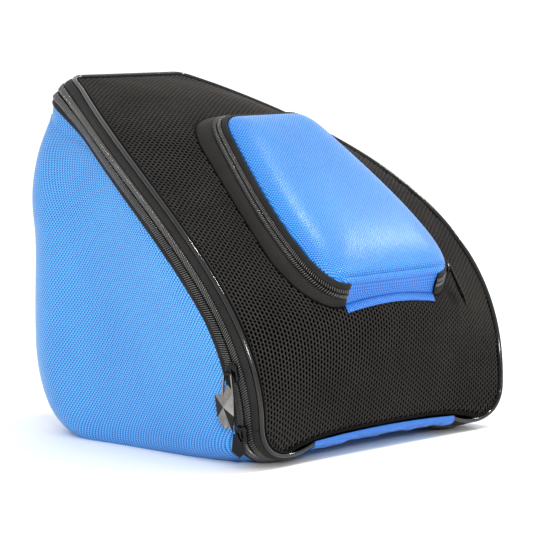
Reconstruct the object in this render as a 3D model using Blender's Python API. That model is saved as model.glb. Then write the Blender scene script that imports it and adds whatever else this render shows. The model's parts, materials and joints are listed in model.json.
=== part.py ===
"""Ski boot bag: a wedge-shaped carrier whose whole sloping front is a zipped lid.

Bag coordinates, in metres: X to the right seen from the front, Y towards the back,
Z up, with y = 0 at the foot of the lid and z = 0 on the floor.  Every object is then
moved by ORIGIN, so the model's own origin is the middle of the flat base.

A cubic curve is four control points: start, two handles, end.
"""

import math

import bmesh
import bpy
import numpy as np
from mathutils import Vector
from mathutils.bvhtree import BVHTree

# Driving dimensions
GAP = 0.0004
FABRIC = 0.004
BACK_Y = 0.3370
BACK_WIDTH = 0.148
BODY_WIDTH = 0.187
SHELL_TOP = 0.3070
BACK_SEAM = 0.074
BACK_TAPER = 0.056
TAPER_START = 0.190
CORNER_RADIUS = 0.060
TOP_CORNER = 0.016
HEEL_HEIGHT = 0.095
HEEL_DEPTH = 0.064
STRIP_HALF = 0.101
STRIP_ARCH = 0.003
BASE_INSET = 0.0046
BASE_STEP = 0.032
BASE_TONGUE = 0.094
FLOOR_LIFT = 0.012
LID_FLANK = 1.1
FOOT_REACH = 0.060
EVEN_ROWS = 0.25
ORIGIN = np.array((0.0, 0.168, 0.0))
MIDDLE = np.array((0.0, 0.170, 0.120))

# Right half of the rim that the lid's piping follows, from the hinge strip to the top edge
RIM_FOOT = ((0.102, 0.003, 0.017), (0.140, 0.003, 0.002), (0.180, 0.0, 0.010), (0.180, 0.0, 0.041))
RIM_SIDE = ((0.180, 0.0, 0.041), (0.183, 0.0, 0.151), (0.222, 0.098, 0.240), (0.095, 0.290, 0.323))
RIM_TOP = ((0.095, 0.290, 0.323), (0.085, 0.306, 0.329), (0.082, 0.318, 0.334), (0.066, 0.318, 0.334))

# Middle line of the lid as (y, z): up the front, straight under the pocket, over to the top
MIDDLE_FRONT = ((0.001, 0.0225), (-0.004, 0.070), (-0.024, 0.122), (0.0017, 0.1459))
MIDDLE_POCKET = ((0.0017, 0.1459), (0.053, 0.193), (0.104, 0.240), (0.155, 0.2865))
MIDDLE_TOP = ((0.155, 0.2865), (0.181, 0.310), (0.249, 0.325), (0.3155, 0.3325))

# How far the zip band leans from level (0) towards straight down, and flares out low on the sides
FOOT_LEAN = math.radians(24)
TOP_LEAN = math.radians(55)
FLARE = math.radians(9)
FLARE_HEIGHT = 0.090

# Zip band, measured from the rim across towards the shell
PIPING_RADIUS = 0.002
TAPE_THICK = 0.0014
COIL_THICK = 0.003
LID_TAPE = (0.0024, 0.0115)
LID_COIL = (0.0118, 0.0181)
BODY_COIL = (0.0185, 0.0248)
BODY_TAPE = (0.0252, 0.0300)
BAND_WIDTH = BODY_TAPE[1] + GAP
LID_ZIP_FOOT = 0.022

# Lid hinge
HINGE_Y = 0.003
HINGE_Z = 0.014

# Pocket: a frame on the sloping face, with p running up the slope and n out of it
POCKET_SLOPE = math.radians(42.5)
POCKET_HINGE = np.array((0.0, -0.0098, 0.1584))
POCKET_UP = np.array((0.0, math.cos(POCKET_SLOPE), math.sin(POCKET_SLOPE)))
POCKET_OUT = np.array((0.0, -math.sin(POCKET_SLOPE), math.cos(POCKET_SLOPE)))
POCKET_DOME = 0.011
POCKET_SINK = 0.003
POCKET_MIDDLE = 0.105
POCKET_SHELL = 0.003
FOOT_CLEARANCE = 0.0022
WALL_HALF = 0.064
WALL_FLARE = 0.42
SIDE_FLARE = 0.85
POCKET_TAPE = (0.0034, 0.0076)
POCKET_UPPER_COIL = (0.0080, 0.0121)
POCKET_LOWER_COIL = (0.0125, 0.0166)
POCKET_GUSSET_START = 0.0170

# Right half of the pocket's outline as (x, p)
POCKET_CORNER = ((0.066, 0.0), (0.086, 0.0), (0.094, 0.020), (0.094, 0.045))
POCKET_SIDE = ((0.094, 0.045), (0.094, 0.090), (0.081, 0.135), (0.067, 0.182))
POCKET_TOP = ((0.067, 0.182), (0.062, 0.200), (0.056, 0.211), (0.040, 0.211))

# Zip hardware
UPPER_SLIDER_Z = 0.092
LOWER_SLIDER_Z = 0.034
UPPER_PULL_ASIDE = 0.0065
LOWER_PULL_ASIDE = 0.0035
POCKET_SLIDER_AT = 3
POCKET_SLIDER_SCALE = 0.7
POCKET_PULL_SWING = math.radians(14)
SLIDER_LENGTH = 0.015
SLIDER_WIDTH = 0.012
SLIDER_THICK = 0.0042
SLIDER_CLEARANCE = COIL_THICK / 2 + 0.0010

# Pulls as (length, half width, half width of the head), and how thick each one is
UPPER_PULL = (0.050, 0.0095, 0.005)
UPPER_PULL_THICK = 0.0030
UPPER_PULL_STANDOFF = 0.0024
LOWER_PULL = (0.022, 0.0065, 0.0035)
LOWER_PULL_THICK = 0.0018
POCKET_PULL = (0.042, 0.0060, 0.004)
POCKET_PULL_THICK = 0.0016

# Carrying handle on the back
HANDLE_Z = 0.268
HANDLE_HALF = 0.056
HANDLE_DROP = 0.040
WEB_WIDTH = 0.025
WEB_THICK = 0.0024
PATCH_SIZE = (0.034, 0.0022, 0.040)


# ---------------------------------------------------------------- curves and frames

def cubic(points, count):
    """Points along a cubic curve."""
    start, first, second, end = (np.array(p, dtype=float) for p in points)
    t = np.linspace(0.0, 1.0, count)[:, None]
    return (1 - t) ** 3 * start + 3 * (1 - t) ** 2 * t * first + 3 * (1 - t) * t * t * second + t ** 3 * end


def chain(*pieces):
    """Join curves that start where the last one ended."""
    return np.vstack([pieces[0]] + [piece[1:] for piece in pieces[1:]])


def lengths(path):
    """Distance along a path at each of its points."""
    steps = np.linalg.norm(np.diff(path, axis=0), axis=1)
    return np.concatenate(([0.0], np.cumsum(steps)))


def resample(values, along, count):
    """Values at equal distances along a path."""
    even = np.linspace(0.0, along[-1], count)
    columns = [np.interp(even, along, values[:, k]) for k in range(values.shape[1])]
    return np.stack(columns, axis=1)


def unit(vectors):
    """Vectors scaled to length one."""
    return vectors / np.linalg.norm(vectors, axis=-1, keepdims=True)


def mirrored(vectors):
    """Vectors on the other side of the bag's middle plane."""
    return vectors * np.array((-1.0, 1.0, 1.0))


def both_sides(right):
    """A path over the right half followed to the left half, from one end to the other."""
    return np.vstack([right, mirrored(right[-2::-1])])


class Rim:
    """The lid's rim with its frame: along it, across the zip band, and out of the bag."""

    def __init__(self, count=70):
        foot = cubic(RIM_FOOT, 25)
        side = cubic(RIM_SIDE, 81)
        top = cubic(RIM_TOP, 17)
        edge = np.linspace(top[-1], (0.0, top[-1][1], top[-1][2]), 13)
        path = chain(foot, side, top, edge)
        slope = np.gradient(side, axis=0)
        side_lean = np.arctan2(slope[:, 1], slope[:, 2])
        lean = np.concatenate([
            np.linspace(FOOT_LEAN, 0.0, len(foot)),
            side_lean[1:],
            np.linspace(side_lean[-1], TOP_LEAN, len(top))[1:],
            np.full(len(edge) - 1, TOP_LEAN),
        ])
        along = lengths(path)
        self.right = resample(path, along, count)
        lean = resample(lean[:, None], along, count)[:, 0]
        self.lean = lean
        self.point = both_sides(self.right)
        tangent = unit(np.gradient(self.point, axis=0))
        flare = np.clip(1 - np.abs(self.right[:, 2] - FLARE_HEIGHT) / 0.055, 0.0, 1.0) * FLARE
        across = unit(np.stack([np.tan(flare), np.cos(lean), -np.sin(lean)], axis=1))
        across = both_sides(across)
        across -= np.sum(across * tangent, axis=1, keepdims=True) * tangent
        self.across = unit(across)
        self.along = tangent
        self.out = unit(np.cross(self.across, tangent))
        self.half = count

    def offset(self, across, out=0.0):
        """The rim moved across the band and out of the bag."""
        return self.point + across * self.across + out * self.out

    def station(self, z, side):
        """The frame on the given side (1 right, -1 left) at height z."""
        steep = slice(self.half // 9, self.half - 12)
        heights = self.point[steep, 2]
        frame = [self.point, self.along, self.across, self.out]
        found = [np.array([np.interp(z, heights, v[steep, k]) for k in range(3)]) for v in frame]
        if side < 0:
            found = [mirrored(v) for v in found]
        return found[0], unit(found[1]), unit(found[2]), unit(found[3])


RIM = Rim()


# ---------------------------------------------------------------- solids

def material(name, colour, roughness, metallic=0.0):
    """A Principled material."""
    made = bpy.data.materials.new(name)
    made.use_nodes = True
    shader = made.node_tree.nodes["Principled BSDF"]
    shader.inputs["Base Color"].default_value = (*colour, 1.0)
    shader.inputs["Roughness"].default_value = roughness
    shader.inputs["Metallic"].default_value = metallic
    return made


def add_solid(name, points, faces, finish, pivot=(0.0, 0.0, 0.0)):
    """One closed body, with its origin on the pivot it turns about."""
    pivot = np.array(pivot, dtype=float)
    mesh = bpy.data.meshes.new(name)
    mesh.from_pydata([tuple(p) for p in np.asarray(points) - pivot], [], faces)
    shape = bmesh.new()
    shape.from_mesh(mesh)
    bmesh.ops.recalc_face_normals(shape, faces=shape.faces)
    shape.to_mesh(mesh)
    shape.free()
    colour, roughness, metallic = FINISHES[finish]
    mesh.materials.append(material(name, colour, roughness, metallic))
    made = bpy.data.objects.new(name, mesh)
    made.location = Vector(pivot - ORIGIN)
    bpy.context.scene.collection.objects.link(made)
    return made


def loft(name, sections, finish, pivot=(0.0, 0.0, 0.0)):
    """A solid through closed sections, capped at both ends."""
    sections = np.asarray(sections)
    rows, size = sections.shape[:2]
    faces = [tuple(range(size)), tuple(range((rows - 1) * size, rows * size))]
    for row in range(rows - 1):
        for k in range(size):
            a = row * size + k
            b = row * size + (k + 1) % size
            faces.append((a, b, b + size, a + size))
    return add_solid(name, sections.reshape(-1, 3), faces, finish, pivot)


def sleeve(name, outer, inner, finish, pivot=(0.0, 0.0, 0.0)):
    """A solid between two lofted skins, open right through."""
    rows, size = outer.shape[:2]
    points = np.vstack([outer.reshape(-1, 3), inner.reshape(-1, 3)])
    shift = rows * size
    faces = []
    for row in range(rows - 1):
        for k in range(size):
            a = row * size + k
            b = row * size + (k + 1) % size
            faces.append((a, b, b + size, a + size))
            faces.append((a + shift, a + size + shift, b + size + shift, b + shift))
    for row in (0, rows - 1):
        for k in range(size):
            a = row * size + k
            b = row * size + (k + 1) % size
            faces.append((a, b, b + shift, a + shift))
    return add_solid(name, points, faces, finish, pivot)


def normals(grid):
    """Unit normals of a grid of points, rows first, turned away from the bag's middle."""
    facing = unit(np.cross(np.gradient(grid, axis=0), np.gradient(grid, axis=1)))
    outward = np.sum(facing * (grid - MIDDLE)) > 0
    return facing if outward else -facing


def slab(name, outer, inner, finish, pivot=(0.0, 0.0, 0.0)):
    """A panel between an outer and an inner grid of points."""
    rows, columns = outer.shape[:2]
    shift = rows * columns
    at = np.arange(shift).reshape(rows, columns)
    faces = []
    for r in range(rows - 1):
        for c in range(columns - 1):
            quad = (at[r, c], at[r, c + 1], at[r + 1, c + 1], at[r + 1, c])
            faces.append(quad)
            faces.append(tuple(k + shift for k in reversed(quad)))
    border = list(at[0, :-1]) + list(at[:-1, -1]) + list(at[-1, :0:-1]) + list(at[:0:-1, 0])
    for a, b in zip(border, border[1:] + border[:1]):
        faces.append((a, b, b + shift, a + shift))
    points = np.vstack([outer.reshape(-1, 3), inner.reshape(-1, 3)])
    faces = [tuple(int(k) for k in face) for face in faces]
    return add_solid(name, points, faces, finish, pivot)


def ribbon(name, path, across, out, span, thick, finish, pivot=(0.0, 0.0, 0.0)):
    """A strip along a path, from span[0] to span[1] across it; either may vary along it."""
    near, far = (np.broadcast_to(np.asarray(s, dtype=float), len(path))[:, None] for s in span)
    half = thick / 2
    corners = [(near, -half), (far, -half), (far, half), (near, half)]
    sections = np.stack([path + a * across + n * out for a, n in corners], axis=1)
    return loft(name, sections, finish, pivot)


def tube(name, path, radius, finish, sides=8, pivot=(0.0, 0.0, 0.0)):
    """A round cord along a path."""
    along = unit(np.gradient(path, axis=0))
    reference = np.array((0.0, 1.0, 0.2))
    first = unit(np.cross(along, reference))
    second = np.cross(along, first)
    turns = np.arange(sides) * 2 * math.pi / sides
    ring = [path + radius * (math.cos(a) * first + math.sin(a) * second) for a in turns]
    return loft(name, np.stack(ring, axis=1), finish, pivot)


def block(name, frame, outline, low, high, finish, pivot, taper=0.0):
    """A flat outline (along, across) raised from low to high, its top edge drawn in."""
    centre, along, across, out = frame
    outline = np.array(outline)
    middle = outline.mean(axis=0)
    top = middle + (outline - middle) * (1 - taper)
    rings = [(outline, low), (outline, high - (high - low) * 0.3), (top, high)]
    sections = [[centre + a * along + b * across + n * out for a, b in ring] for ring, n in rings]
    return loft(name, np.array(sections), finish, pivot)


# ---------------------------------------------------------------- shell

def rounded(z, height, depth, start=math.radians(20)):
    """How far a rounded lower edge stands in at height z."""
    full = height / math.cos(start)
    share = np.clip((height - z) / full, 0.0, 1.0)
    return depth * (1 - np.sqrt(1 - share ** 2))


def shell_section(z):
    """Right half of the shell's outline at height z, from the zip band to the back seam."""
    seam = RIM.offset(BAND_WIDTH)[: RIM.half - 8]
    lowest = int(np.argmin(seam[:, 2]))
    front_x = np.interp(z, seam[lowest:, 2], seam[lowest:, 0])
    front_y = np.interp(z, seam[lowest:, 2], seam[lowest:, 1])
    rise = max(z - TAPER_START, 0.0) / (SHELL_TOP - TAPER_START)
    width = BACK_WIDTH - BACK_TAPER * rise ** 2 - rounded(z, 0.03, 0.014)
    radius = CORNER_RADIUS - (CORNER_RADIUS - TOP_CORNER) * rise
    back = BACK_Y - rounded(z, HEEL_HEIGHT, HEEL_DEPTH)
    corner_y = max(back - radius, front_y + 0.001)
    run = corner_y - front_y
    flank = max(BODY_WIDTH - rounded(z, 0.03, 0.014) if z < 0.17 else 0.0, front_x)
    flank = max(flank, width)
    side = cubic(((front_x, front_y), (min(flank, front_x + run * 0.5), front_y + run * 0.12),
                  (width, corner_y - run * 0.35), (width, corner_y)), 10)
    turn = np.linspace(0.0, math.pi / 2, 7)
    corner = np.stack([width - radius + radius * np.cos(turn),
                       corner_y + (back - corner_y) * np.sin(turn)], axis=1)
    rear = np.linspace(corner[-1], (BACK_SEAM + GAP, back), 4)
    flat = chain(side, corner, rear)
    return np.column_stack([flat, np.full(len(flat), z)])


def shell_levels():
    """Heights of the shell's rows, closer together where the bottom edge is rounded."""
    low = HEEL_HEIGHT * np.linspace(0.0, 1.0, 8) ** 1.6
    high = np.linspace(HEEL_HEIGHT, SHELL_TOP - 0.001, 12)
    return np.concatenate([low, high[1:]])


def inner_skin(outer, thick):
    """The inside of a panel: the outer grid moved in, never below the floor."""
    inner = outer - thick * normals(outer)
    inner[..., 2] = np.maximum(inner[..., 2], outer[..., 2])
    return inner


def side_panels():
    """The two side panels, each carried round its back corner."""
    right = np.array([shell_section(z) for z in shell_levels()])
    inner = inner_skin(right, FABRIC)
    slab("right_side_panel", right, inner, "nylon")
    slab("left_side_panel", mirrored(right), mirrored(inner), "nylon")


def back_panel():
    """The back, between the two side panels' seams."""
    levels = shell_levels()
    back = BACK_Y - rounded(levels, HEEL_HEIGHT, HEEL_DEPTH)
    widths = np.linspace(-BACK_SEAM + GAP, BACK_SEAM - GAP, 7)
    outer = np.array([[(x, y, z) for x in widths] for y, z in zip(back, levels)])
    slab("back_panel", outer, inner_skin(outer, FABRIC), "nylon")


def floor_lift(x, y):
    """How far the base rises off the floor towards the hinge strip."""
    reach = np.clip(1 - (y - 0.006) / 0.125, 0.0, 1.0)
    middle = np.clip(1 - (np.abs(x) / 0.125) ** 2, 0.0, 1.0)
    return FLOOR_LIFT * reach * middle


def base_half_width(y):
    """Inside half-width of the shell's foot at depth y."""
    foot = shell_section(0.0)
    return np.interp(y, foot[:16, 1], foot[:16, 0]) - BASE_INSET


def base_panel():
    """The base cloth, inside the walls' lower edges and lifted at the front."""
    rear = shell_section(0.0)[-1, 1] - BASE_INSET
    behind_strip = np.linspace(0.0078, BASE_STEP, 3)
    depths = np.concatenate([behind_strip, np.linspace(BASE_STEP + 0.002, 0.131, 6), np.linspace(0.16, rear, 9)])
    rows = []
    for y in depths:
        half = BASE_TONGUE if y <= BASE_STEP else base_half_width(y)
        xs = np.linspace(-half, half, 13)
        rows.append([(x, y, float(floor_lift(x, y))) for x in xs])
    outer = np.array(rows)
    inner = outer + np.array((0.0, 0.0, 0.0030))
    slab("base_panel", outer, inner, "nylon")


def base_board():
    """The stiff board that lies on the base."""
    y = np.linspace(0.145, 0.250, 5)
    half = np.array([base_half_width(v) - 0.006 for v in y])
    outer = np.array([[(x, v, 0.0036) for x in np.linspace(-h, h, 3)] for v, h in zip(y, half)])
    slab("base_board", outer, outer + np.array((0.0, 0.0, 0.0025)), "board")


def back_pad():
    """The foam pad behind the back panel's lining."""
    heights = np.linspace(HEEL_HEIGHT + 0.004, SHELL_TOP - 0.022, 4)
    near = BACK_Y - FABRIC - GAP
    outer = np.array([[(x, near, z) for x in (-0.070, 0.0, 0.070)] for z in heights])
    slab("back_pad", outer, outer - np.array((0.0, 0.006, 0.0)), "foam")


# ---------------------------------------------------------------- zip band and lid

def lid_reach(name, span, thick, finish):
    """A strip of the lid's half of the zip, which stops above the hinge on both sides."""
    above = np.flatnonzero(RIM.point[:, 2] > LID_ZIP_FOOT)
    above = above[above > RIM.half // 12]
    part = slice(above[0], len(RIM.point) - above[0])
    ribbon(name, RIM.point[part], RIM.across[part], RIM.out[part], span, thick, finish, HINGE)


def zip_band():
    """Piping, tapes and the two coils round the rim."""
    ribbon("body_zip_tape", RIM.point, RIM.across, RIM.out, BODY_TAPE, TAPE_THICK, "tape")
    ribbon("body_zip_coil", RIM.point, RIM.across, RIM.out, BODY_COIL, COIL_THICK, "coil")
    lid_reach("lid_zip_tape", LID_TAPE, TAPE_THICK, "tape")
    lid_reach("lid_zip_coil", LID_COIL, COIL_THICK, "coil")
    tube("lid_piping", RIM.point, PIPING_RADIUS, "piping", pivot=HINGE)


def lid_middle(count=240):
    """The lid's middle line as (y, z): up the front, straight under the pocket, over to the top edge."""
    line = chain(cubic(MIDDLE_FRONT, 40), cubic(MIDDLE_POCKET, 40), cubic(MIDDLE_TOP, 40))
    return resample(line, lengths(line), count)


def squarely_out(middle, edge, lean):
    """Place on the middle line that lies square out from a rim point."""
    along = np.array((math.sin(lean), math.cos(lean)))
    return int(np.argmin(np.abs((middle - edge) @ along)))


def lid_grid(columns=25):
    """The lid's outer surface, row by row from the hinge strip to the top edge."""
    inset = RIM.offset(0.0, -PIPING_RADIUS - GAP)[: RIM.half]
    middle = lid_middle()
    lowest = int(np.argmin(inset[:, 2]))
    last = int(np.flatnonzero(RIM.right[lowest:, 0] < RIM_TOP[3][0])[0]) + lowest
    picked = np.unique(np.linspace(lowest, last, 30).astype(int))
    places = np.array([squarely_out(middle, inset[k, 1:], RIM.lean[k]) for k in picked])
    places = np.maximum.accumulate(places - places[0]) / (places[-1] - places[0])
    places = (1 - EVEN_ROWS) * places + EVEN_ROWS * np.linspace(0.0, 1.0, len(places))
    places = np.round(places * (len(middle) - 1)).astype(int)
    s = np.sin(np.linspace(-math.pi / 2, math.pi / 2, columns))
    bulge = ((1 - s ** 2) ** LID_FLANK)[:, None]
    arch = (1 - s ** 4)[:, None]
    rows = []
    for k, place in zip(picked, places):
        low = max(1 - (inset[k, 2] - inset[lowest, 2]) / FOOT_REACH, 0.0)
        shape = arch * low + bulge * (1 - low)
        row = inset[k, 1:] + shape * (middle[place] - inset[k, 1:])
        rows.append(np.column_stack([inset[k, 0] * s, row]))
    return np.array(rows)


def lid_panel():
    """The crowned panel of spacer mesh."""
    outer = lid_grid()
    slab("lid_mesh_panel", outer, outer - FABRIC * normals(outer), "mesh", HINGE)


def hinge_strip():
    """The cloth strip along the lid's foot that the lid turns on."""
    x = np.linspace(-STRIP_HALF, STRIP_HALF, 17)
    arch = STRIP_ARCH * (1 - (x / STRIP_HALF) ** 2)
    outer = [np.column_stack([x, np.full(17, y), z + arch * share])
             for y, z, share in ((0.0046, 0.0122, 0.1), (0.0012, 0.0142, 0.5), (0.0012, 0.0176, 1.0))]
    outer = np.array(outer)
    inner = outer + np.array((0.0, 0.0026, 0.0006))
    slab("hinge_strip", outer, inner, "nylon")


# ---------------------------------------------------------------- pocket

def pocket_point(x, p, n=0.0):
    """Bag coordinates of a point given in the pocket's own frame."""
    x, p, n = np.broadcast_arrays(x, p, n)
    across = np.array((1.0, 0.0, 0.0))
    return POCKET_HINGE + x[..., None] * across + p[..., None] * POCKET_UP + n[..., None] * POCKET_OUT


def pocket_half_outline(count=30):
    """Right half of the pocket's outline, from the hinge wall to the middle of the top."""
    top = cubic(POCKET_TOP, 12)
    edge = np.linspace(top[-1], (0.0, top[-1][1]), 6)
    path = chain(cubic(POCKET_CORNER, 16), cubic(POCKET_SIDE, 20), top, edge)
    return resample(path, lengths(path), count)


def pocket_frame():
    """The pocket zip's path over the right side, the top and the left side, with its frame."""
    half = pocket_half_outline()
    path = both_sides(pocket_point(half[:, 0], half[:, 1]))
    along = unit(np.gradient(path, axis=0))
    p = np.concatenate([half[:, 1], half[-2::-1, 1]])
    flare = WALL_FLARE + (SIDE_FLARE - WALL_FLARE) * np.clip(p / 0.05, 0.0, 1.0)
    down = unit(flare[:, None] * np.cross(along, POCKET_OUT) - POCKET_OUT)
    out = unit(np.cross(down, along))
    return path, down, out


def depth_to_lid(points, direction):
    """Distance from each point to the lid's outer surface."""
    grid = lid_grid()
    rows, columns = grid.shape[:2]
    at = np.arange(rows * columns).reshape(rows, columns)
    quads = [(int(at[r, c]), int(at[r, c + 1]), int(at[r + 1, c + 1]), int(at[r + 1, c]))
             for r in range(rows - 1) for c in range(columns - 1)]
    tree = BVHTree.FromPolygons([Vector(p) for p in grid.reshape(-1, 3)], quads)
    return np.array([tree.ray_cast(Vector(p), Vector(d))[3] for p, d in zip(points, direction)])


def pocket_walls():
    """The gusset, both coils and the tape round three sides, and the hinge wall."""
    path, down, out = pocket_frame()
    foot = depth_to_lid(path, down) - FOOT_CLEARANCE
    hinge = POCKET_HINGE
    ribbon("pocket_gusset", path, down, out, (POCKET_GUSSET_START, foot), TAPE_THICK, "tape", HINGE)
    ribbon("pocket_lower_coil", path, down, out, POCKET_LOWER_COIL, 0.0024, "coil", HINGE)
    ribbon("pocket_upper_coil", path, down, out, POCKET_UPPER_COIL, 0.0024, "coil", hinge)
    ribbon("pocket_flap_tape", path, down, out, POCKET_TAPE, TAPE_THICK, "tape", hinge)
    x = np.linspace(-WALL_HALF, WALL_HALF, 9)
    line = pocket_point(x, 0.0)
    drop = np.tile(unit(-POCKET_OUT - WALL_FLARE * POCKET_UP), (9, 1))
    face = np.cross((1.0, 0.0, 0.0), drop)
    reach = depth_to_lid(line, drop) - FOOT_CLEARANCE
    ribbon("pocket_hinge_wall", line, drop, face, (0.0030, reach), 0.0020, "nylon", HINGE)


def pocket_flap():
    """The moulded cover: a domed face with a rounded edge."""
    half = pocket_half_outline(24)
    outer = []
    for share in (1.0, 0.985, 0.95, 0.88, 0.74, 0.5, 0.25):
        ring_p = POCKET_MIDDLE + (half[:, 1] - POCKET_MIDDLE) * share
        lift = (POCKET_DOME + POCKET_SINK) * (1 - share ** 5) ** 0.55 - POCKET_SINK
        ring = both_sides(pocket_point(half[:, 0] * share, ring_p, lift))[:-1]
        outer.append(close_front(ring))
    inner = [ring - POCKET_SHELL * POCKET_OUT for ring in outer]
    inner[0] = inner[1] - POCKET_SHELL * 0.2 * POCKET_OUT
    rings = list(reversed(inner)) + outer
    loft("pocket_flap", np.array(rings), "moulded", POCKET_HINGE)


def close_front(ring):
    """A ring with its straight side along the hinge filled in with points."""
    start, end = ring[-1], ring[0]
    fill = np.linspace(start, end, 7)[1:-1]
    return np.vstack([ring, fill])


# ---------------------------------------------------------------- zip hardware

def seated(frame, at):
    """A frame moved across the zip band."""
    centre, along, across, out = frame
    return centre + at * across, along, across, out


def slider(name, seat, finish="metal", scale=1.0):
    """A slider body: a waisted plate, wider at the end where the two coils part."""
    long = SLIDER_LENGTH * scale / 2
    wide = SLIDER_WIDTH * scale / 2
    outline = [(-long, -wide * 0.7), (-long * 0.3, -wide * 0.75), (long * 0.5, -wide), (long, -wide * 0.6),
               (long, wide * 0.6), (long * 0.5, wide), (-long * 0.3, wide * 0.75), (-long, wide * 0.7)]
    return block(name, seat, outline, SLIDER_CLEARANCE, SLIDER_CLEARANCE + SLIDER_THICK * scale,
                 finish, seat[0], taper=0.25)


def pull(name, seat, outline, low, thick, finish, swing=0.0):
    """A pull tab hanging from its slider, hinged at its top edge."""
    frame = hanging(seat, swing)
    pivot = frame[0] + (low + thick / 2) * frame[3]
    return block(name, frame, outline, low, low + thick, finish, pivot, taper=0.12)


def hanging(frame, swing):
    """A frame whose length points down the slider's face, then swings out from it."""
    centre, _, _, out = frame
    down = np.array((0.0, 0.0, -1.0))
    down = unit(down - np.dot(down, out) * out)
    across = unit(np.cross(out, down))
    swung = math.cos(swing) * down + math.sin(swing) * out
    return centre, swung, across, np.cross(swung, across)


def waisted(length, wide, neck):
    """Outline of a pull: a narrow head, shoulders, a waist and a pointed foot."""
    half = [(-0.0008, neck), (length * 0.16, wide * 0.8), (length * 0.42, wide * 0.62),
            (length * 0.62, wide), (length * 0.86, wide * 0.72), (length, wide * 0.12)]
    return half + [(a, -b) for a, b in reversed(half)]


def main_sliders():
    """Two sliders low on the left side, each with its pull; the lower one hangs below the upper one's."""
    middle = (LID_COIL[1] + BODY_COIL[0]) / 2
    upper = seated(RIM.station(UPPER_SLIDER_Z, -1), middle)
    lower = seated(RIM.station(LOWER_SLIDER_Z, -1), middle)
    slider("upper_slider", upper)
    slider("lower_slider", lower)
    top = SLIDER_CLEARANCE + SLIDER_THICK + GAP
    pull("lower_pull", seated(lower, LOWER_PULL_ASIDE), waisted(*LOWER_PULL), top, LOWER_PULL_THICK,
         "metal_dark")
    pull("upper_pull", seated(upper, UPPER_PULL_ASIDE), waisted(*UPPER_PULL), top + UPPER_PULL_STANDOFF,
         UPPER_PULL_THICK, "metal")


def pocket_slider_parts():
    """The pocket's slider at its lower right corner, with its pull."""
    path, down, out = pocket_frame()
    k = POCKET_SLIDER_AT
    frame = (path[k], unit(path[k + 1] - path[k - 1]), down[k], out[k])
    seat = seated(frame, (POCKET_UPPER_COIL[1] + POCKET_LOWER_COIL[0]) / 2)
    slider("pocket_slider", seat, "metal_dark", POCKET_SLIDER_SCALE)
    low = SLIDER_CLEARANCE + SLIDER_THICK * POCKET_SLIDER_SCALE + 2 * GAP
    pull("pocket_pull", seat, waisted(*POCKET_PULL), low, POCKET_PULL_THICK, "metal_dark",
         POCKET_PULL_SWING)


def zip_stops():
    """Metal end stops at both ends of the main zip, under the front corners."""
    for side, name in ((1, "zip_stop_right"), (-1, "zip_stop_left")):
        ends = [v[3] for v in (RIM.point, RIM.along, RIM.across, RIM.out)]
        frame = ends if side > 0 else [mirrored(v) for v in ends]
        centre, along, across, out = frame
        outline = [(-0.003, -0.0028), (0.003, -0.0028), (0.003, 0.0028), (-0.003, 0.0028)]
        middle = (LID_COIL[0] + LID_COIL[1]) / 2
        block(name, (centre + middle * across, along, across, out), outline, -0.001, 0.0006, "metal",
              (0.0, 0.0, 0.0))


# ---------------------------------------------------------------- carrying handle

def handle_path(count=25):
    """The handle's middle line, hanging down from its two ends."""
    turn = np.linspace(0.0, math.pi, count)
    x = -HANDLE_HALF * np.cos(turn)
    drop = HANDLE_DROP * np.sin(turn) ** 0.7
    y = BACK_Y + 0.0085 + 0.004 * np.sin(turn)
    return np.column_stack([x, y, HANDLE_Z - drop])


def handle():
    """Webbing handle with a sleeve grip, and the two patches it is sewn to."""
    pivot = np.array((0.0, BACK_Y + 0.0085, HANDLE_Z))
    path = handle_path()
    along = unit(np.gradient(path, axis=0))
    out = np.array((0.0, 1.0, 0.0))
    across = unit(np.cross(out, along))
    outward = np.cross(along, across)
    half = WEB_WIDTH / 2 * 0.45
    ribbon("handle_webbing", path, across, outward, (-half, half), WEB_THICK, "webbing", pivot)
    middle = slice(8, 17)
    turns = np.arange(12) * 2 * math.pi / 12
    outer = [path[middle] + 0.0105 * math.cos(a) * across[middle] + 0.0050 * math.sin(a) * outward[middle]
             for a in turns]
    reach_a, reach_n = half + GAP, WEB_THICK / 2 + GAP
    square = [(max(-1, min(1, 1.5 * math.cos(a))), max(-1, min(1, 1.5 * math.sin(a)))) for a in turns]
    inner = [path[middle] + reach_a * a * across[middle] + reach_n * n * outward[middle] for a, n in square]
    sleeve("handle_grip", np.stack(outer, axis=1), np.stack(inner, axis=1), "grip", pivot)
    for side, name in ((1, "handle_patch_right"), (-1, "handle_patch_left")):
        size_x, size_y, size_z = PATCH_SIZE
        centre = np.array((side * HANDLE_HALF, BACK_Y + GAP, HANDLE_Z + 0.004))
        frame = (centre, np.array((0.0, 0.0, 1.0)), np.array((1.0, 0.0, 0.0)), out)
        outline = [(a * size_z / 2, b * size_x / 2) for a, b in ((-1, -1), (1, -1), (1, 1), (-1, 1))]
        block(name, frame, outline, 0.0, size_y, "webbing", (0.0, 0.0, 0.0), taper=0.04)


# ---------------------------------------------------------------- assembly

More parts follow.
